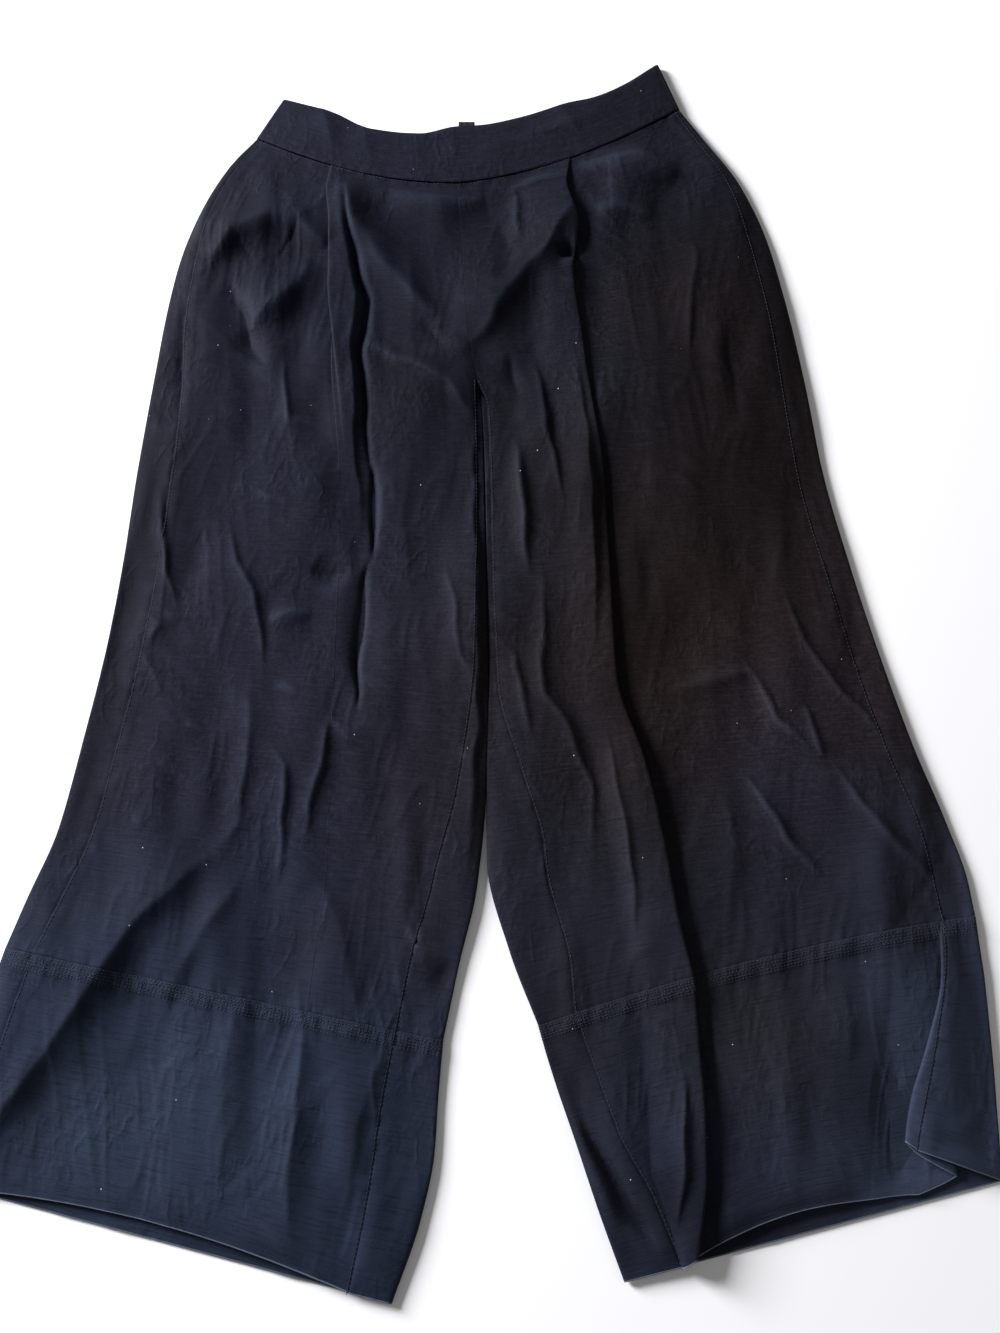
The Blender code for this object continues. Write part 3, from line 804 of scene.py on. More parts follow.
# %% [markdown]
# ## From a sheet to a shell of cloth
#
# The shell is the sheet moved half the cloth's thickness to either side and joined round the rim.
# Making both faces in one go keeps the thickness even through the hairpins. The lengths along the
# sheet become its UV map, so the weave follows the cloth and not the floor.

# %% Shells
def grid_normals(points):
    normals = np.cross(np.gradient(points, axis=0), np.gradient(points, axis=1))
    return normals / np.maximum(np.linalg.norm(normals, axis=2, keepdims=True), 1e-9)


def shell_faces(n, m):
    """Corner numbers of the two faces and the rim of a shell with n rows and m columns."""
    index = np.arange(n * m).reshape(n, m)
    a, b = index[:-1, :-1].ravel(), index[:-1, 1:].ravel()
    c, d = index[1:, 1:].ravel(), index[1:, :-1].ravel()
    upper = np.stack([a, d, c, b], 1)
    lower = np.stack([a, b, c, d], 1) + n * m
    rim = np.concatenate([index[0], index[1:, -1], index[-1, -2::-1], index[-2:0:-1, 0]])
    after = np.roll(rim, -1)
    return np.concatenate([upper, lower, np.stack([rim, after, after + n * m, rim + n * m], 1)])


def in_metres(points):
    """Points of the tables, moved to where the garment lies."""
    return points * MM + np.array([MIDDLE[0], MIDDLE[1], cad_low[2]])


def add_attributes(mesh, sheet):
    """What the finish reads at each point, the same on both faces."""
    for label in ("crest", "to_hem", "stitched"):
        values = np.tile(getattr(sheet, label).ravel(), 2).astype(np.float32)
        mesh.attributes.new(label, "FLOAT", "POINT").data.foreach_set("value", values)
    left = np.tile(fade_shade_and_light(sheet.points[..., 0], sheet.points[..., 1]).reshape(-1, 3), (2, 1))
    mesh.attributes.new("fade_shade_and_light", "FLOAT_VECTOR", "POINT").data.foreach_set("vector", left.ravel())


def shell(name, sheet, thickness):
    """A closed mesh object of this thickness from a sheet."""
    n, m = sheet.points.shape[:2]
    offset = grid_normals(sheet.points) * thickness / 2
    vertices = in_metres(np.concatenate([sheet.points + offset, sheet.points - offset]).reshape(-1, 3))
    faces = shell_faces(n, m)
    mesh = bpy.data.meshes.new(name)
    mesh.vertices.add(len(vertices))
    mesh.vertices.foreach_set("co", vertices.ravel())
    mesh.loops.add(faces.size)
    mesh.loops.foreach_set("vertex_index", faces.ravel())
    mesh.polygons.add(len(faces))
    mesh.polygons.foreach_set("loop_start", np.arange(0, faces.size, 4))
    mesh.update(calc_edges=True)
    u, v = cloth_lengths(sheet.points)
    uv = np.stack([u - u[:, u.shape[1] // 2][:, None], v], 2).reshape(-1, 2) * MM
    mesh.uv_layers.new(name="cloth").data.foreach_set("uv", uv[faces.ravel() % (n * m)].ravel())
    add_attributes(mesh, sheet)
    on_a_face = np.arange(len(faces)) < 2 * (n - 1) * (m - 1)
    mesh.polygons.foreach_set("use_smooth", on_a_face)
    return put(name, mesh)


def cut_size(sheet):
    """The widest row, the length and the area of a sheet laid out flat, in metres."""
    u, v = cloth_lengths(sheet.points)
    widths = u[:, -1]
    area = np.trapz(widths, v[:, 0])
    return widths.max() * MM, v[-1, 0] * MM, area * MM * MM


print("cloth", CLOTH, "mm thick")

# %% [markdown]
# ## Cutting the eight panels
#
# Each leg is a front and a back, and each hem band again a front and a back. The fronts take a finer
# grid, because the creases are on them. The printed sizes are those of each panel opened out flat,
# so they can be compared with a paper pattern.

# %% Build the leg panels
# rows and columns are about this far apart
SPACING = {"leg_front": (3.1, 1.95), "leg_back": (5.0, 3.2),
           "hem_band_front": (2.4, 1.4), "hem_band_back": (3.5, 3.2)}
LEGS = {
    "right": {"leg": Leg(RIGHT_LEG, 1, RIGHT_CREASES),
              "hem_band": Leg(RIGHT_BAND, 1, RIGHT_CREASES)},
    "left": {"leg": Leg(LEFT_LEG, -1, LEFT_CREASES),
             "hem_band": Leg(LEFT_BAND, -1, LEFT_CREASES)},
}
SPANS = {"leg": (SEAM_GAP / 2, BAND_SEAM - SEAM_GAP / 2),
         "hem_band": (BAND_SEAM + SEAM_GAP / 2, HEM)}
sheets = {}
for side, tubes in LEGS.items():
    for tube, leg in tubes.items():
        for face in ("front", "back"):
            sheets[f"{side}_{tube}_{face}"] = panel(
                leg, face == "front", *SPANS[tube], SPACING[f"{tube}_{face}"])
print("rows and columns:", {name: sheet.points.shape[:2] for name, sheet in sheets.items()})

# %% [markdown]
# ## Waistband
#
# The waistband is a shaped strip, stiffer and smoother than the legs, with its ends rolled round to
# the back. Its lower edge follows the legs' top line, so the seam shuts along its whole length.

# %% Waistband
WAIST_TOP = np.array((
    (-168, 456), (-154, 451), (-123, 440), (-90, 423), (-49, 418), (-18, 425), (4, 427),
    (47, 438), (82, 450), (100, 454), (131, 470), (160, 493)), float)
WAIST_CLOTH = 1.3            # two layers of cloth with a stiffener between them
WAIST_ROLL = 3.0             # how much of the back shows at each end
WAIST_PROUD = 1.3            # how far the waistband stands above the leg cloth
WAIST_DEPTH = 48
WAIST_ROWS, WAIST_COLUMNS = 2.2, {True: 2.0, False: 3.0}   # spacing; a front has more columns
FAR_FROM_HEM = 300


def waist_seam(x):
    """How far up the waist seam lies at each x: the top rows of the two legs."""
    y = np.zeros_like(x)
    for table, shown in ((RIGHT_LEG, x <= RIGHT_LEG.inner_x[0]), (LEFT_LEG, x > RIGHT_LEG.inner_x[0])):
        share = (x - table.outer_x[0]) / (table.inner_x[0] - table.outer_x[0])
        y = np.where(shown, section_line(table.outer_y[0], table.inner_y[0], table.sag[0], share), y)
    return y


WAIST_CREASES = creases((
    (((-136, 448), (-129, 424), (-120, 394)), 3.0, 14, 14, 1.2),
    (((-100, 428), (-92, 404), (-88, 384)), 1.3, 8, 12, 1.4),
    (((-22, 424), (-20, 400), (-20, 378)), 0.9, 4, 7, 1.3),
    (((70, 446), (86, 424), (92, 404)), 1.3, 10, 10, 1.5),
    (((28, 412), (70, 424), (112, 444)), 0.9, 6, 8, 1.4),
))


def waist_walk(front, width):
    """Across the waistband from the wearer's right to the left."""
    walk = Walk(2)
    if front:
        walk.add(WAIST_ROLL + SEAM_GAP / 2, 0)
        walk.spread(width - WAIST_ROLL - SEAM_GAP / 2, 20)
        return walk
    turn = ((WAIST_ROLL - SEAM_GAP / 2, 0, 1), (1.5, 0, 1), (0.2, 0, 0.5),
            (-0.2, -EDGE_LIFT / 2, 0.2), (0.3, -EDGE_LIFT, 0))
    for across, height, top in turn:
        walk.add(across, height, top)
    walk.add(5, -EDGE_LIFT, 0)
    walk.spread(width - 5, 20, -EDGE_LIFT, 0)
    for across, height, top in reversed(turn):
        walk.add(width - across, height, top)
    return walk


def waist_sheet(front):
    right, width = RIGHT_LEG.outer_x[0], LEFT_LEG.outer_x[0] - RIGHT_LEG.outer_x[0]
    across, height, top, _ = waist_walk(front, width).curve(WAIST_COLUMNS[front])[0].T
    level = (rows_down(0, WAIST_DEPTH, WAIST_ROWS) / WAIST_DEPTH)[::-1, None]
    marks = run_of(WAIST_TOP)
    along_top = across / width * marks[-1]
    beyond = np.minimum(across, 0) + np.maximum(across - width, 0)
    top_x = smooth(marks, WAIST_TOP[:, 0], along_top) + beyond
    top_y = smooth(marks, WAIST_TOP[:, 1], along_top)
    seam_y = waist_seam(right + across) + SEAM_GAP / 2
    x = right + across + (top_x - right - across) * level
    y = seam_y + (top_y - seam_y) * level
    swell = 1 - np.exp(-np.maximum(np.minimum(across, width - across), 0) / LOFT_REACH)
    to_top, to_seam = (1 - level) * WAIST_DEPTH, level * WAIST_DEPTH + 0 * x
    folds = swell * crease_height(x, y, WAIST_CREASES)
    folds = folds + 1.2 * swell * patches(x, y, 42, 80, 21) + 0.4 * patches(x, y, 16, 30, 22)
    relief = swell * LOFT + waist_ease(to_seam) * folds
    relief = relief + puckers(x, y, to_seam, WAISTBAND_GATHERS) + WAIST_PROUD
    relief = relief - 0.7 * bell(to_top, 2.0) - 0.5 * bell(to_seam, 0.9)
    z = np.maximum(FLOOR_LAYER + EDGE_LIFT + height + top * relief, WAIST_CLOTH / 2)
    points = np.stack([x, y, z], 2)
    return Sheet(points, crest_of(relief), np.full(x.shape, FAR_FROM_HEM), 0 * x, 1 if front else -1)


sheets["waistband_front"] = waist_sheet(True)
sheets["waistband_back"] = waist_sheet(False)
print("waistband", WAIST_DEPTH, "mm deep")

# %% [markdown]
# ## Hanging tab
#
# A short black tape is sewn inside the back of the waistband and stands a little above it, to hang
# the garment up by. Only its end shows from the front.

# %% Hanging tab
TAB_WIDTH, TAB_LOW, TAB_HIGH, TAB_MIDDLE = 14.0, 408.0, 434.5, -8.0
TAB_LEVEL, TAB_RISE, TAB_WAVE = 2.1, 0.5, 0.12     # its height, the lift of its free end, and a ripple
tab_x, tab_y = np.meshgrid(np.linspace(-TAB_WIDTH / 2, TAB_WIDTH / 2, 15) + TAB_MIDDLE,
                           np.linspace(TAB_HIGH, TAB_LOW, 27))
free = np.clip((tab_y - TAB_HIGH + 10.5) / 10, 0, 1)
tab_z = TAB_LEVEL + TAB_RISE * free + TAB_WAVE * np.sin(tab_x * 1.3)
plain = np.zeros_like(tab_x)
sheets["back_tab"] = Sheet(np.stack([tab_x, tab_y, tab_z], 2), plain, plain + FAR_FROM_HEM, plain, 1)
pieces = {}
for name, sheet in sheets.items():
    thickness = WAIST_CLOTH if "waistband" in name else CLOTH
    pieces[name] = shell(name + "_cloth", sheet, thickness)
    print(name, 2 * len(pieces[name].data.polygons), "triangles")

# %% [markdown]
# ## Shader sums
#
# A shader is a sum of measures: how far from the hem, how deep in a crease, how dark the dye. One
# small class wraps a socket so those sums read as plain expressions.

# %% Shader helpers
class Signal:
    """A socket in a node tree that can be added, multiplied and compared."""

    def __init__(self, tree, socket):
        self.tree, self.socket = tree, socket

    def math(self, operation, *others):
        return self.tree.node("ShaderNodeMath", {"operation": operation}, self, *others)

    def __add__(self, other):
        return self.math("ADD", other)

    def __sub__(self, other):
        return self.math("SUBTRACT", other)

    def __rsub__(self, other):
        return self.tree.node("ShaderNodeMath", {"operation": "SUBTRACT"}, other, self)

    def __mul__(self, other):
        return self.math("MULTIPLY", other)

    def __truediv__(self, other):
        return self.math("DIVIDE", other)

    def __pow__(self, other):
        return self.math("POWER", other)

    __radd__, __rmul__ = __add__, __mul__

    def clamped(self):
        return self.tree.node("ShaderNodeClamp", {}, self)

    def between(self, low, high):
        """0 below low, 1 above high and smooth between them."""
        return self.tree.node("ShaderNodeMapRange", {"interpolation_type": "SMOOTHSTEP"}, self, low, high)


class Tree:
    """A material's node tree: every node comes from one method."""

    def __init__(self, name):
        self.material = bpy.data.materials.new(name)
        self.material.use_nodes = True
        self.nodes, self.links = self.material.node_tree.nodes, self.material.node_tree.links
        self.shader = self.nodes["Principled BSDF"]

    def node(self, kind, settings, *values, output=0, **named):
        made = self.nodes.new(kind)
        for key, value in settings.items():
            setattr(made, key, value)
        for key, value in [*enumerate(values), *named.items()]:
            self.feed(made.inputs[key if isinstance(key, int) else key.replace("_", " ")], value)
        return Signal(self, made.outputs[output])

    def feed(self, socket, value):
        if isinstance(value, Signal):
            self.links.new(value.socket, socket)
        else:
            socket.default_value = value

    def surface(self, **named):
        """Values or links for the sockets of the main shader."""
        for label, value in named.items():
            self.feed(self.shader.inputs[label.replace("_", " ")], value)

    def axes(self, vector):
        """The separate coordinates of a vector."""
        parts = self.nodes.new("ShaderNodeSeparateXYZ")
        self.feed(parts.inputs[0], vector)
        return [Signal(self, socket) for socket in parts.outputs]

    def attribute(self, name, output="Fac"):
        return self.node("ShaderNodeAttribute", {"attribute_name": name}, output=output)

    def mix(self, factor, first, second, blend="MIX"):
        """Two colours mixed by a factor."""
        made = self.nodes.new("ShaderNodeMix")
        made.data_type, made.blend_type = "RGBA", blend
        for socket, value in zip((made.inputs[0], made.inputs[6], made.inputs[7]), (factor, first, second)):
            self.feed(socket, value)
        return Signal(self, made.outputs[2])

    def noise(self, place, scale, detail=2.0, roughness=0.5):
        return self.node("ShaderNodeTexNoise", {}, Vector=place, Scale=scale, Detail=detail,
                         Roughness=roughness)

    def drawn_out(self, uv, scale_u, scale_v, detail):
        """Noise that is stretched along the threads."""
        stretched = self.node("ShaderNodeMapping", {}, Vector=uv, Scale=(scale_u, scale_v, 1))
        return self.noise(stretched, 1.0, detail)


print("shader helpers ready")

# %% [markdown]
# ## Navy cotton
#
# The cloth is a plain-woven cotton dyed nearly black. Its threads are less than half a millimetre apart,
# with thicker slubs here and there. The dye has faded to a bluer navy where the cloth has been rubbed: on
# crease tops, along seams, and most at the hem fold; the paler crease tops are also a painted highlight,
# and the crease hollows are painted darker as painted shade. The side towards the window is painted violet
# as painted cool light, the left thigh warmer and darker as painted warm shade, and the cloth below the
# waist darker as painted shade. There is no gloss, only the faint bluish sheen of raised fibres, and a few
# specks of white lint.

# %% Navy cotton
DYE = (0.0054, 0.0054, 0.0096, 1)
PAINTED_WINDOW_VIOLET = (0.0070, 0.0067, 0.0142, 1)      # painted cool light from the window, on the outer side of the right leg
HEM_BLUE = (0.0120, 0.0175, 0.0340, 1)        # bluer and lighter towards the hem bands
FLAP_BLUE = (0.0240, 0.0340, 0.0620, 1)        # lighter blue on the turned-over corner
PAINTED_WARMTH = (0.0080, 0.0050, 0.0048, 1)        # painted warm shade on the left thigh, away from the window
CREASE_SHADE_COLOUR = (0.0060, 0.0060, 0.0090, 1)          # painted shade in the crease hollows, where the dye is also least rubbed
DENSE_DYE = (0.0030, 0.0030, 0.0040, 1)
# paler navy of worn dye and raised threads; on crest tops also a painted highlight
WORN_AND_HIGHLIGHT = (0.0200, 0.0250, 0.0380, 1)
HEM_LINE = (0.085, 0.105, 0.135, 1)
LINT = (0.42, 0.44, 0.46, 1)
WAIST_SHADE = (0.52, 0.60, 0.66, 1)           # painted shade that the colour is multiplied by, below the waist and on the left thigh
# painted warm shade on the left thigh
WARM_SHADE = (0.86, 0.62, 0.45, 1)
THREAD_PITCH = 0.00042
FUZZ = 0.55                                   # roughness of the sheen of raised fibres


def weave_of(tree, uv):
    """Plain weave: threads over and under each other, in turn."""
    u, v, _ = tree.axes(uv)
    across = (u * (math.pi / THREAD_PITCH)).math("SINE")
    along = (v * (math.pi / THREAD_PITCH)).math("SINE")
    over = (across * along).between(-0.25, 0.25)
    return across * across * over + along * along * (1 - over)


def dye_and_light_tints(tree, place):
    """The colour over the whole garment: violet to one side as painted cool light, blue at the hems, and
    painted warm shade on the left thigh.
    """
    x, y, _ = tree.axes(place)
    cloudy = tree.noise(place, 9.0, 3.0)
    patchy = 0.5 + 0.9 * tree.noise(place, 26.0, 2.0)
    leftward = (cloudy * 0.2 - x).between(-0.15, 0.42)
    hemward = (cloudy * 0.2 - y).between(0.22, 0.42)
    # painted warm shade: warmer and darker on the left thigh, away from the window
    painted_warm = ((x + cloudy * 0.22).between(0.02, 0.34) * (0.3 + 0.7 * (y + cloudy * 0.2).between(-0.20, 0.15))
            * (1 - 0.8 * y.between(0.26, 0.38))).clamped()
    # painted shade: darker below the waist
    waistward = (y + cloudy * 0.2).between(0.02, 0.30) * (1 - 0.7 * y.between(0.30, 0.41))
    # painted cool light: violet towards the window side
    colour = tree.mix((leftward * patchy).clamped(), DYE, PAINTED_WINDOW_VIOLET)
    colour = tree.mix((hemward * patchy).clamped(), colour, HEM_BLUE)
    colour = tree.mix(painted_warm * 0.8, colour, PAINTED_WARMTH)
    return tree.mix(hemward * x.between(0.24, 0.32), colour, FLAP_BLUE), waistward, painted_warm


def crest_tones_and_slubs(tree, place, colour, rubbed_and_highlit, hollow_shade, threads, streaks):
    """Paler on the crests as wear and painted highlight, on thick threads and nap; darker in the hollows as
    painted shade, and along dense threads.
    """
    colour = tree.mix(rubbed_and_highlit.clamped(), colour, WORN_AND_HIGHLIGHT)
    # painted shade in the crease hollows
    colour = tree.mix(hollow_shade * 0.55, colour, CREASE_SHADE_COLOUR)
    colour = tree.mix(((threads - 0.5) * 1.6 + 0.12).clamped() * 0.4, colour, WORN_AND_HIGHLIGHT)
    mottle = tree.noise(place, 380.0, 2.0) * 0.55 + tree.noise(place, 1300.0, 1.0) * 0.45
    colour = tree.mix(((mottle - 0.42) * 2.6).clamped() * 0.45, colour, WORN_AND_HIGHLIGHT)
    colour = tree.mix(((streaks - 0.52) * 3.0).clamped() * 0.4, colour, WORN_AND_HIGHLIGHT)
    return tree.mix(((0.48 - streaks) * 3.0).clamped() * 0.6, colour, DENSE_DYE)


def marked(tree, place, colour, gathered):
    """The gathered band seam, the worn line of the hem fold and specks of lint."""
    colour = tree.mix(gathered * 0.35, colour, WORN_AND_HIGHLIGHT)
    line = (1 - tree.attribute("to_hem").between(0.5, 1.1)) * (0.55 + 0.9 * tree.noise(place, 900.0, 1.0))
    colour = tree.mix(line.clamped(), colour, HEM_LINE)
    lint = tree.node("ShaderNodeTexVoronoi", {}, Vector=place, Scale=70.0)
    speck = (1 - lint.between(0.02, 0.036)) * tree.noise(place, 31.0, 0.0).between(0.56, 0.62)
    return tree.mix(speck.clamped(), colour, LINT)


def wrinkles(tree, place):
    """Thin sharp wrinkles, here and there."""
    drawn = tree.node("ShaderNodeMapping", {}, Vector=place, Scale=(1.0, 0.6, 1.0))
    ridge = (tree.noise(drawn, 62.0, 2.0, 0.55) - 0.5).math("ABSOLUTE")
    return (1 - ridge * 9.0).clamped() * tree.noise(place, 17.0, 1.0).between(0.45, 0.62)


def navy_cotton(name):
    tree = Tree(name)
    place = tree.node("ShaderNodeTexCoord", {}, output="Object")
    uv = tree.node("ShaderNodeUVMap", {"uv_map": "cloth"})
    threads = tree.drawn_out(uv, 160, 2600, 1.0) * 0.5 + tree.drawn_out(uv, 2600, 160, 1.0) * 0.5
    streaks = tree.drawn_out(uv, 48, 640, 3.0)
    crest = tree.attribute("crest")
    # paler crest tops: worn dye and painted highlight
    rubbed_and_highlit = (crest * 0.45).clamped() * (0.35 + 0.9 * threads)
    loops = 1 - tree.node("ShaderNodeTexVoronoi", {}, Vector=place, Scale=640.0).between(0.12, 0.5)
    gathered = tree.attribute("stitched") * loops
    colour, waistward, painted_warm = dye_and_light_tints(tree, place)
    # a negative crest gives painted shade in the crease hollows
    colour = crest_tones_and_slubs(tree, place, colour, rubbed_and_highlit, (crest * -0.8).clamped(), threads, streaks)
    # painted shade below the waist
    colour = tree.mix(waistward * 0.75, colour, WAIST_SHADE, "MULTIPLY")
    # painted warm shade on the left thigh
    colour = tree.mix(painted_warm, colour, WARM_SHADE, "MULTIPLY")
    # uneven dye, with painted shade and painted light, from the patches
    colour = tree.mix(1.0, colour, tree.attribute("fade_shade_and_light", "Color"), "MULTIPLY")
    height = (weave_of(tree, uv) * 0.10 + threads * 0.22 + tree.noise(place, 520.0, 2.0) * 0.35
              + wrinkles(tree, place) * 0.9 + gathered * 1.6 + streaks * 0.7)
    tree.surface(
        Base_Color=marked(tree, place, colour, gathered),
        Roughness=(0.66 - 0.12 * rubbed_and_highlit).clamped(),
        Normal=tree.node("ShaderNodeBump", {}, Strength=0.55, Distance=0.0006, Height=height),
        Specular_IOR_Level=0.05, Specular_Tint=(0.84, 0.80, 1.0, 1),
        Sheen_Weight=0.006, Sheen_Roughness=FUZZ, Sheen_Tint=(0.55, 0.68, 1.0, 1))
    return tree.material


navy = navy_cotton("navy_cotton")
print("navy cotton has", len(navy.node_tree.nodes), "nodes")

# %% [markdown]
# ## Black tape and thread
#
# The tab is a ribbed black tape. The sewing thread is a fine twisted cotton a shade lighter than
# the cloth, so the rows of stitches just catch the light.

# %% Tape and thread
def ribbed(name, dark, light, pitch, coordinate):
    """A narrow ribbed or twisted finish in two tones."""
    tree = Tree(name)
    place = tree.node("ShaderNodeTexCoord", {}, output="Object")
    rib = (tree.axes(place)[coordinate] * (2 * math.pi / pitch)).math("SINE") * 0.5 + 0.5
    fuzz = tree.noise(place, 1400.0, 2.0)
    tree.surface(
        Base_Color=tree.mix((rib * 0.4 + fuzz * 0.5).clamped(), dark, light),
        Roughness=(0.75 + 0.2 * fuzz).clamped(),
        Normal=tree.node("ShaderNodeBump", {}, Strength=0.6, Distance=0.0003, Height=rib + fuzz),
        Specular_IOR_Level=0.2, Sheen_Weight=0.05, Sheen_Roughness=FUZZ, Sheen_Tint=(0.7, 0.8, 1.0, 1))
    return tree.material


RIB_PITCH, TWIST_PITCH = 0.0011, 0.0006
tape = ribbed("black_tape", (0.003, 0.003, 0.004, 1), (0.010, 0.010, 0.012, 1), RIB_PITCH, 0)
thread = ribbed("sewing_thread", (0.008, 0.009, 0.014, 1), (0.030, 0.037, 0.055, 1), TWIST_PITCH, 1)
for name, obj in pieces.items():
    obj.data.materials.append(tape if name == "back_tab" else navy)
print("finishes:", navy.name, tape.name, thread.name)

# %% [markdown]
# ## Stitching
#
# A row of stitches repeats along a path, so Geometry Nodes sew it: the path is cut into equal
# steps, and a small spindle of thread is laid on each step, turned along the path.

# %% Sewing tree
def sewing_tree():
    tree = bpy.data.node_groups.new("sew_row", "GeometryNodeTree")
    face = tree.interface
    face.new_socket("Path", in_out="INPUT", socket_type="NodeSocketGeometry")
    sizes = {}
    for label in ("Pitch", "Stitch Length", "Thread Width"):
        sizes[label] = face.new_socket(label, in_out="INPUT", socket_type="NodeSocketFloat").identifier
    sizes["Thread"] = face.new_socket("Thread", in_out="INPUT", socket_type="NodeSocketMaterial").identifier
    face.new_socket("Stitches", in_out="OUTPUT", socket_type="NodeSocketGeometry")

    def node(kind, **settings):
        made = tree.nodes.new(kind)
        for key, value in settings.items():
            setattr(made, key, value)
        return made

    inputs, outputs = node("NodeGroupInput"), node("NodeGroupOutput")
    curve = node("GeometryNodeMeshToCurve")
    steps = node("GeometryNodeResampleCurve", mode="LENGTH")
    tangent = node("GeometryNodeInputTangent")
    turn = node("FunctionNodeAlignRotationToVector", axis="X")
    spindle = node("GeometryNodeMeshUVSphere")
    spindle.inputs["Segments"].default_value = 6
    spindle.inputs["Rings"].default_value = 4
    spindle.inputs["Radius"].default_value = 0.5
    lie = node("GeometryNodeTransform")
    lie.inputs["Rotation"].default_value = (0, math.pi / 2, 0)
    stretch = node("ShaderNodeCombineXYZ")
    smooth_shade = node("GeometryNodeSetShadeSmooth")
    place = node("GeometryNodeInstanceOnPoints")
    real = node("GeometryNodeRealizeInstances")
    paint = node("GeometryNodeSetMaterial")
    for source, output, target, socket in (
            (inputs, "Path", curve, "Mesh"),
            (curve, "Curve", steps, "Curve"),
            (inputs, "Pitch", steps, "Length"),
            (steps, "Curve", place, "Points"),
            (tangent, "Tangent", turn, "Vector"),
            (turn, "Rotation", place, "Rotation"),
            (inputs, "Stitch Length", stretch, "X"),
            (inputs, "Thread Width", stretch, "Y"),
            (inputs, "Thread Width", stretch, "Z"),
            (spindle, "Mesh", lie, "Geometry"),
            (lie, "Geometry", smooth_shade, "Geometry"),
            (smooth_shade, "Geometry", place, "Instance"),
            (stretch, "Vector", place, "Scale"),
            (place, "Instances", real, "Geometry"),
            (real, "Geometry", paint, "Geometry"),
            (inputs, "Thread", paint, "Material"),
            (paint, "Geometry", outputs, "Stitches")):
        tree.links.new(source.outputs[output], target.inputs[socket])
    return tree, sizes


SEW, SEW_SOCKETS = sewing_tree()
print("sewing tree inputs:", list(SEW_SOCKETS))

# %% [markdown]
# ## Rows of stitches
#
# The paths lie on the sheets: so far in from a long edge, or so far down from a short one. Each band
# seam has six close rows, which gather the cloth between them; the inseams, side seams and waist seam
# have one each.

# %% Sewing rows
THREAD_LIFT = 0.12           # how far the middle of a stitch stands off the cloth
SEAM_STITCH = {"Pitch": 3.1, "Stitch Length": 2.5, "Thread Width": 0.55}
BAND_STITCH = {"Pitch": 2.6, "Stitch Length": 1.5, "Thread Width": 0.5}
BAND_ROWS = (1.2, 3.2, 5.2, 7.2, 9.2, 11.2)
BESIDE_SEAM, BELOW_WAIST = 1.4, 2.2
TO_FORK = 190                # the front seam above the fork has no topstitching


def outer_face(sheet):
    """The sheet's points moved out to the side that faces away from the body."""
    return sheet.points + grid_normals(sheet.points) * (CLOTH / 2 + THREAD_LIFT) * sheet.outside


def point_at(distance, lengths, line):
    """The point this far along a line of the grid."""
    return [np.interp(distance, lengths, line[:, k]) for k in range(3)]


def row_across(sheet, distance):
    """A path across the panel, this far from its top edge."""
    grid = outer_face(sheet)
    _, v = cloth_lengths(grid)
    return np.array([point_at(distance, v[:, 0], column) for column in grid.swapaxes(0, 1)])


def row_beside(sheet, distance, from_end=False, skip=0.0):
    """A path down the panel, this far from its first or last column, below the first skip mm."""
    grid = outer_face(sheet)
    grid = grid[:, ::-1] if from_end else grid
    u, _ = cloth_lengths(grid)
    path = np.array([point_at(distance, lengths, row) for lengths, row in zip(u, grid)])
    return path[run_of(path) >= skip]


def sew(name, paths, stitch):
    """One object with stitches along all the paths."""
    mesh = bpy.data.meshes.new(name)
    points = in_metres(np.concatenate(paths))
    firsts = np.cumsum([0] + [len(path) for path in paths])
    edges = [(k, k + 1) for a, b in zip(firsts[:-1], firsts[1:]) for k in range(a, b - 1)]
    mesh.from_pydata(points.tolist(), edges, [])
    guide = put(name + "_guide", mesh)
    modifier = guide.modifiers.new("sew", "NODES")
    modifier.node_group = SEW
    for label, size in stitch.items():
        modifier[SEW_SOCKETS[label]] = size * MM
    modifier[SEW_SOCKETS["Thread"]] = thread
    graph = bpy.context.evaluated_depsgraph_get()
    sewn = bpy.data.meshes.new_from_object(guide.evaluated_get(graph))
    bpy.data.objects.remove(guide)
    print(name, len(sewn.polygons), "faces")
    return put(name, sewn)


stitches = {}
for side in LEGS:
    leg_front, band_front = sheets[f"{side}_leg_front"], sheets[f"{side}_hem_band_front"]
    inner_last = side == "right"
    name = f"{side}_band_stitches"
    stitches[name] = sew(name, [row_across(sheets[f"{side}_hem_band_{face}"], row)
                                for face in ("front", "back") for row in BAND_ROWS], BAND_STITCH)
    name = f"{side}_seam_stitches"
    stitches[name] = sew(name, [
        row_beside(leg_front, BESIDE_SEAM, inner_last, skip=TO_FORK),
        row_beside(band_front, BESIDE_SEAM, inner_last),
        row_beside(leg_front, BESIDE_SEAM, not inner_last),
        row_beside(band_front, BESIDE_SEAM, not inner_last),
        row_across(leg_front, BELOW_WAIST),
    ], SEAM_STITCH)
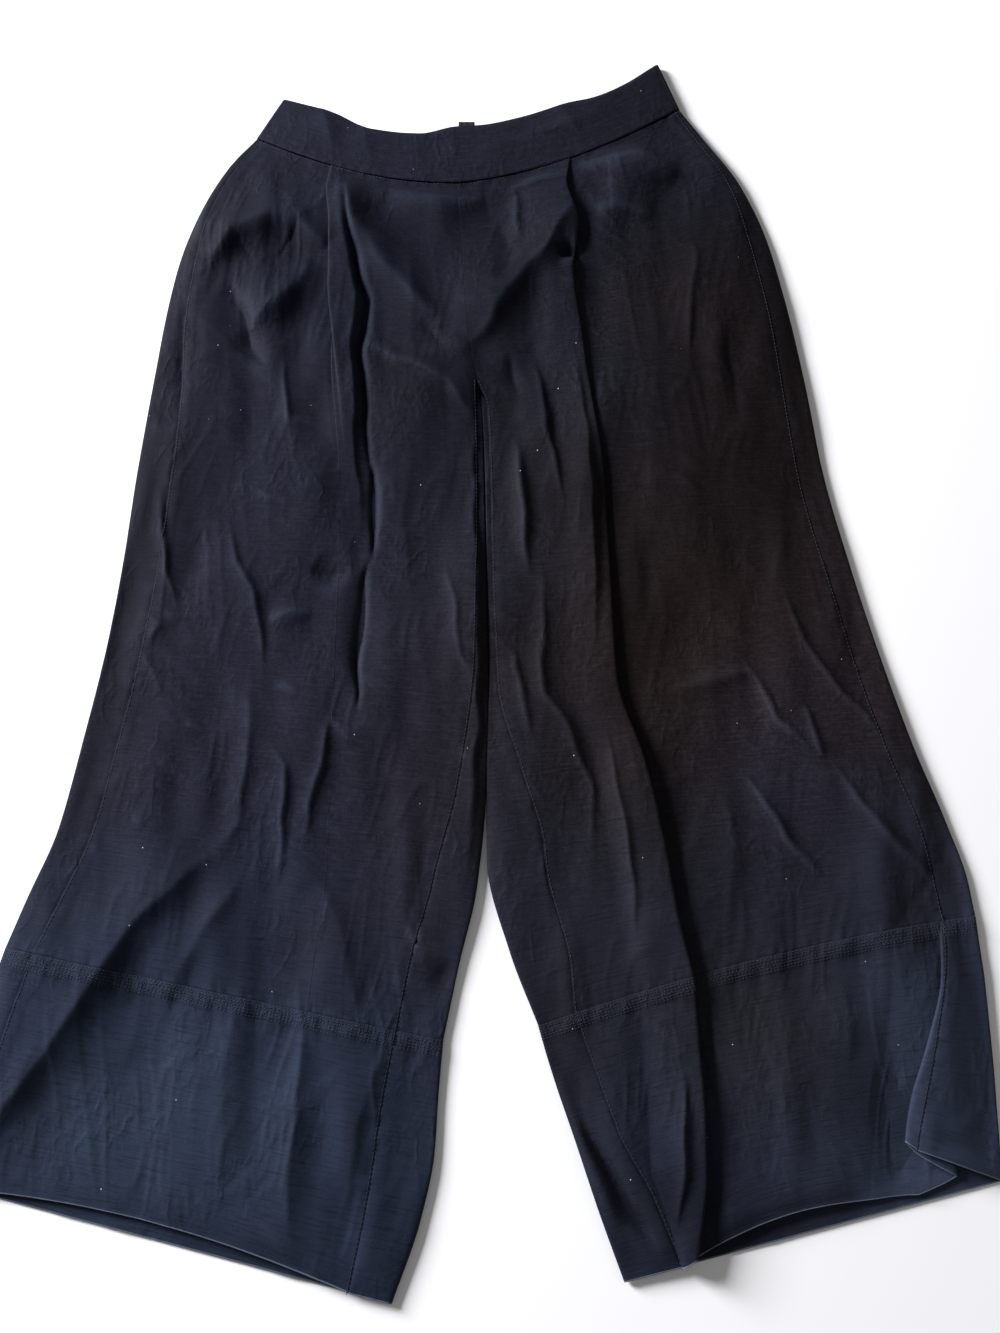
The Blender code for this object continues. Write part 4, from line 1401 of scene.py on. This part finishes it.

# %% [markdown]
# ## What each piece stands for
#
# Every shell takes the place of one solid of the imported model and lies still with the rest. A sheet also
# states the size of the flat cloth it was cut from, measured with its folds opened out. The stitches are
# extra.

for name, obj in pieces.items():
    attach(obj, "root")
    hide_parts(name)
    "black_tape" if name == "back_tab" else "navy_cloth"
    width, length, area = cut_size(sheets[name])
    print(name, "is cut", round(width * 1000), "by", round(length * 1000), "mm")
for obj in stitches.values():
    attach(obj, "root")

# %% [markdown]
# ## Floor and light
#
# The garment lies on white paper. A broad cool window on the left and a weak warm lamp on the right
# leave soft shadows beside every fold.

# %% Floor and light
FLOOR_REACH, FLOOR_GAP = 6.0, 0.0002      # half the floor's side, and its depth below the garment
corners = [(east * FLOOR_REACH, north * FLOOR_REACH, cad_low[2] - FLOOR_GAP)
           for east, north in ((-1, -1), (1, -1), (1, 1), (-1, 1))]
floor_mesh = bpy.data.meshes.new("floor")
floor_mesh.from_pydata(corners, [], [(0, 1, 2, 3)])
floor = put("floor", floor_mesh)
paper = Tree("white_paper")
paper.surface(Base_Color=(0.8, 0.8, 0.8, 1), Roughness=0.9, Specular_IOR_Level=0.1)
floor.data.materials.append(paper.material)


def soft_light(name, location, size, power, colour):
    """A rectangular lamp aimed at the middle of the garment."""
    data = bpy.data.lights.new(name, "AREA")
    data.shape = "RECTANGLE"
    data.size, data.size_y = size
    data.energy = power
    data.color = colour
    light = put(name, data)
    light.location = location
    light.rotation_euler = (-Vector(location)).to_track_quat("-Z", "Y").to_euler()


soft_light("window", (-2.8, 1.4, 1.2), (1.2, 1.2), 420, (0.95, 0.955, 1.0))
soft_light("lamp", (2.6, -0.6, 1.6), (1.2, 1.2), 8, (1.0, 0.86, 0.74))
world = bpy.data.worlds.new("studio")
bpy.context.scene.world = world
world.use_nodes = True
sky = world.node_tree.nodes["Background"].inputs
sky["Color"].default_value = (0.97, 0.98, 1.0, 1)
sky["Strength"].default_value = 0.22
bpy.context.scene.view_settings.view_transform = "Standard"
print("lights:", [obj.name for obj in bpy.data.objects if obj.type == "LIGHT"])
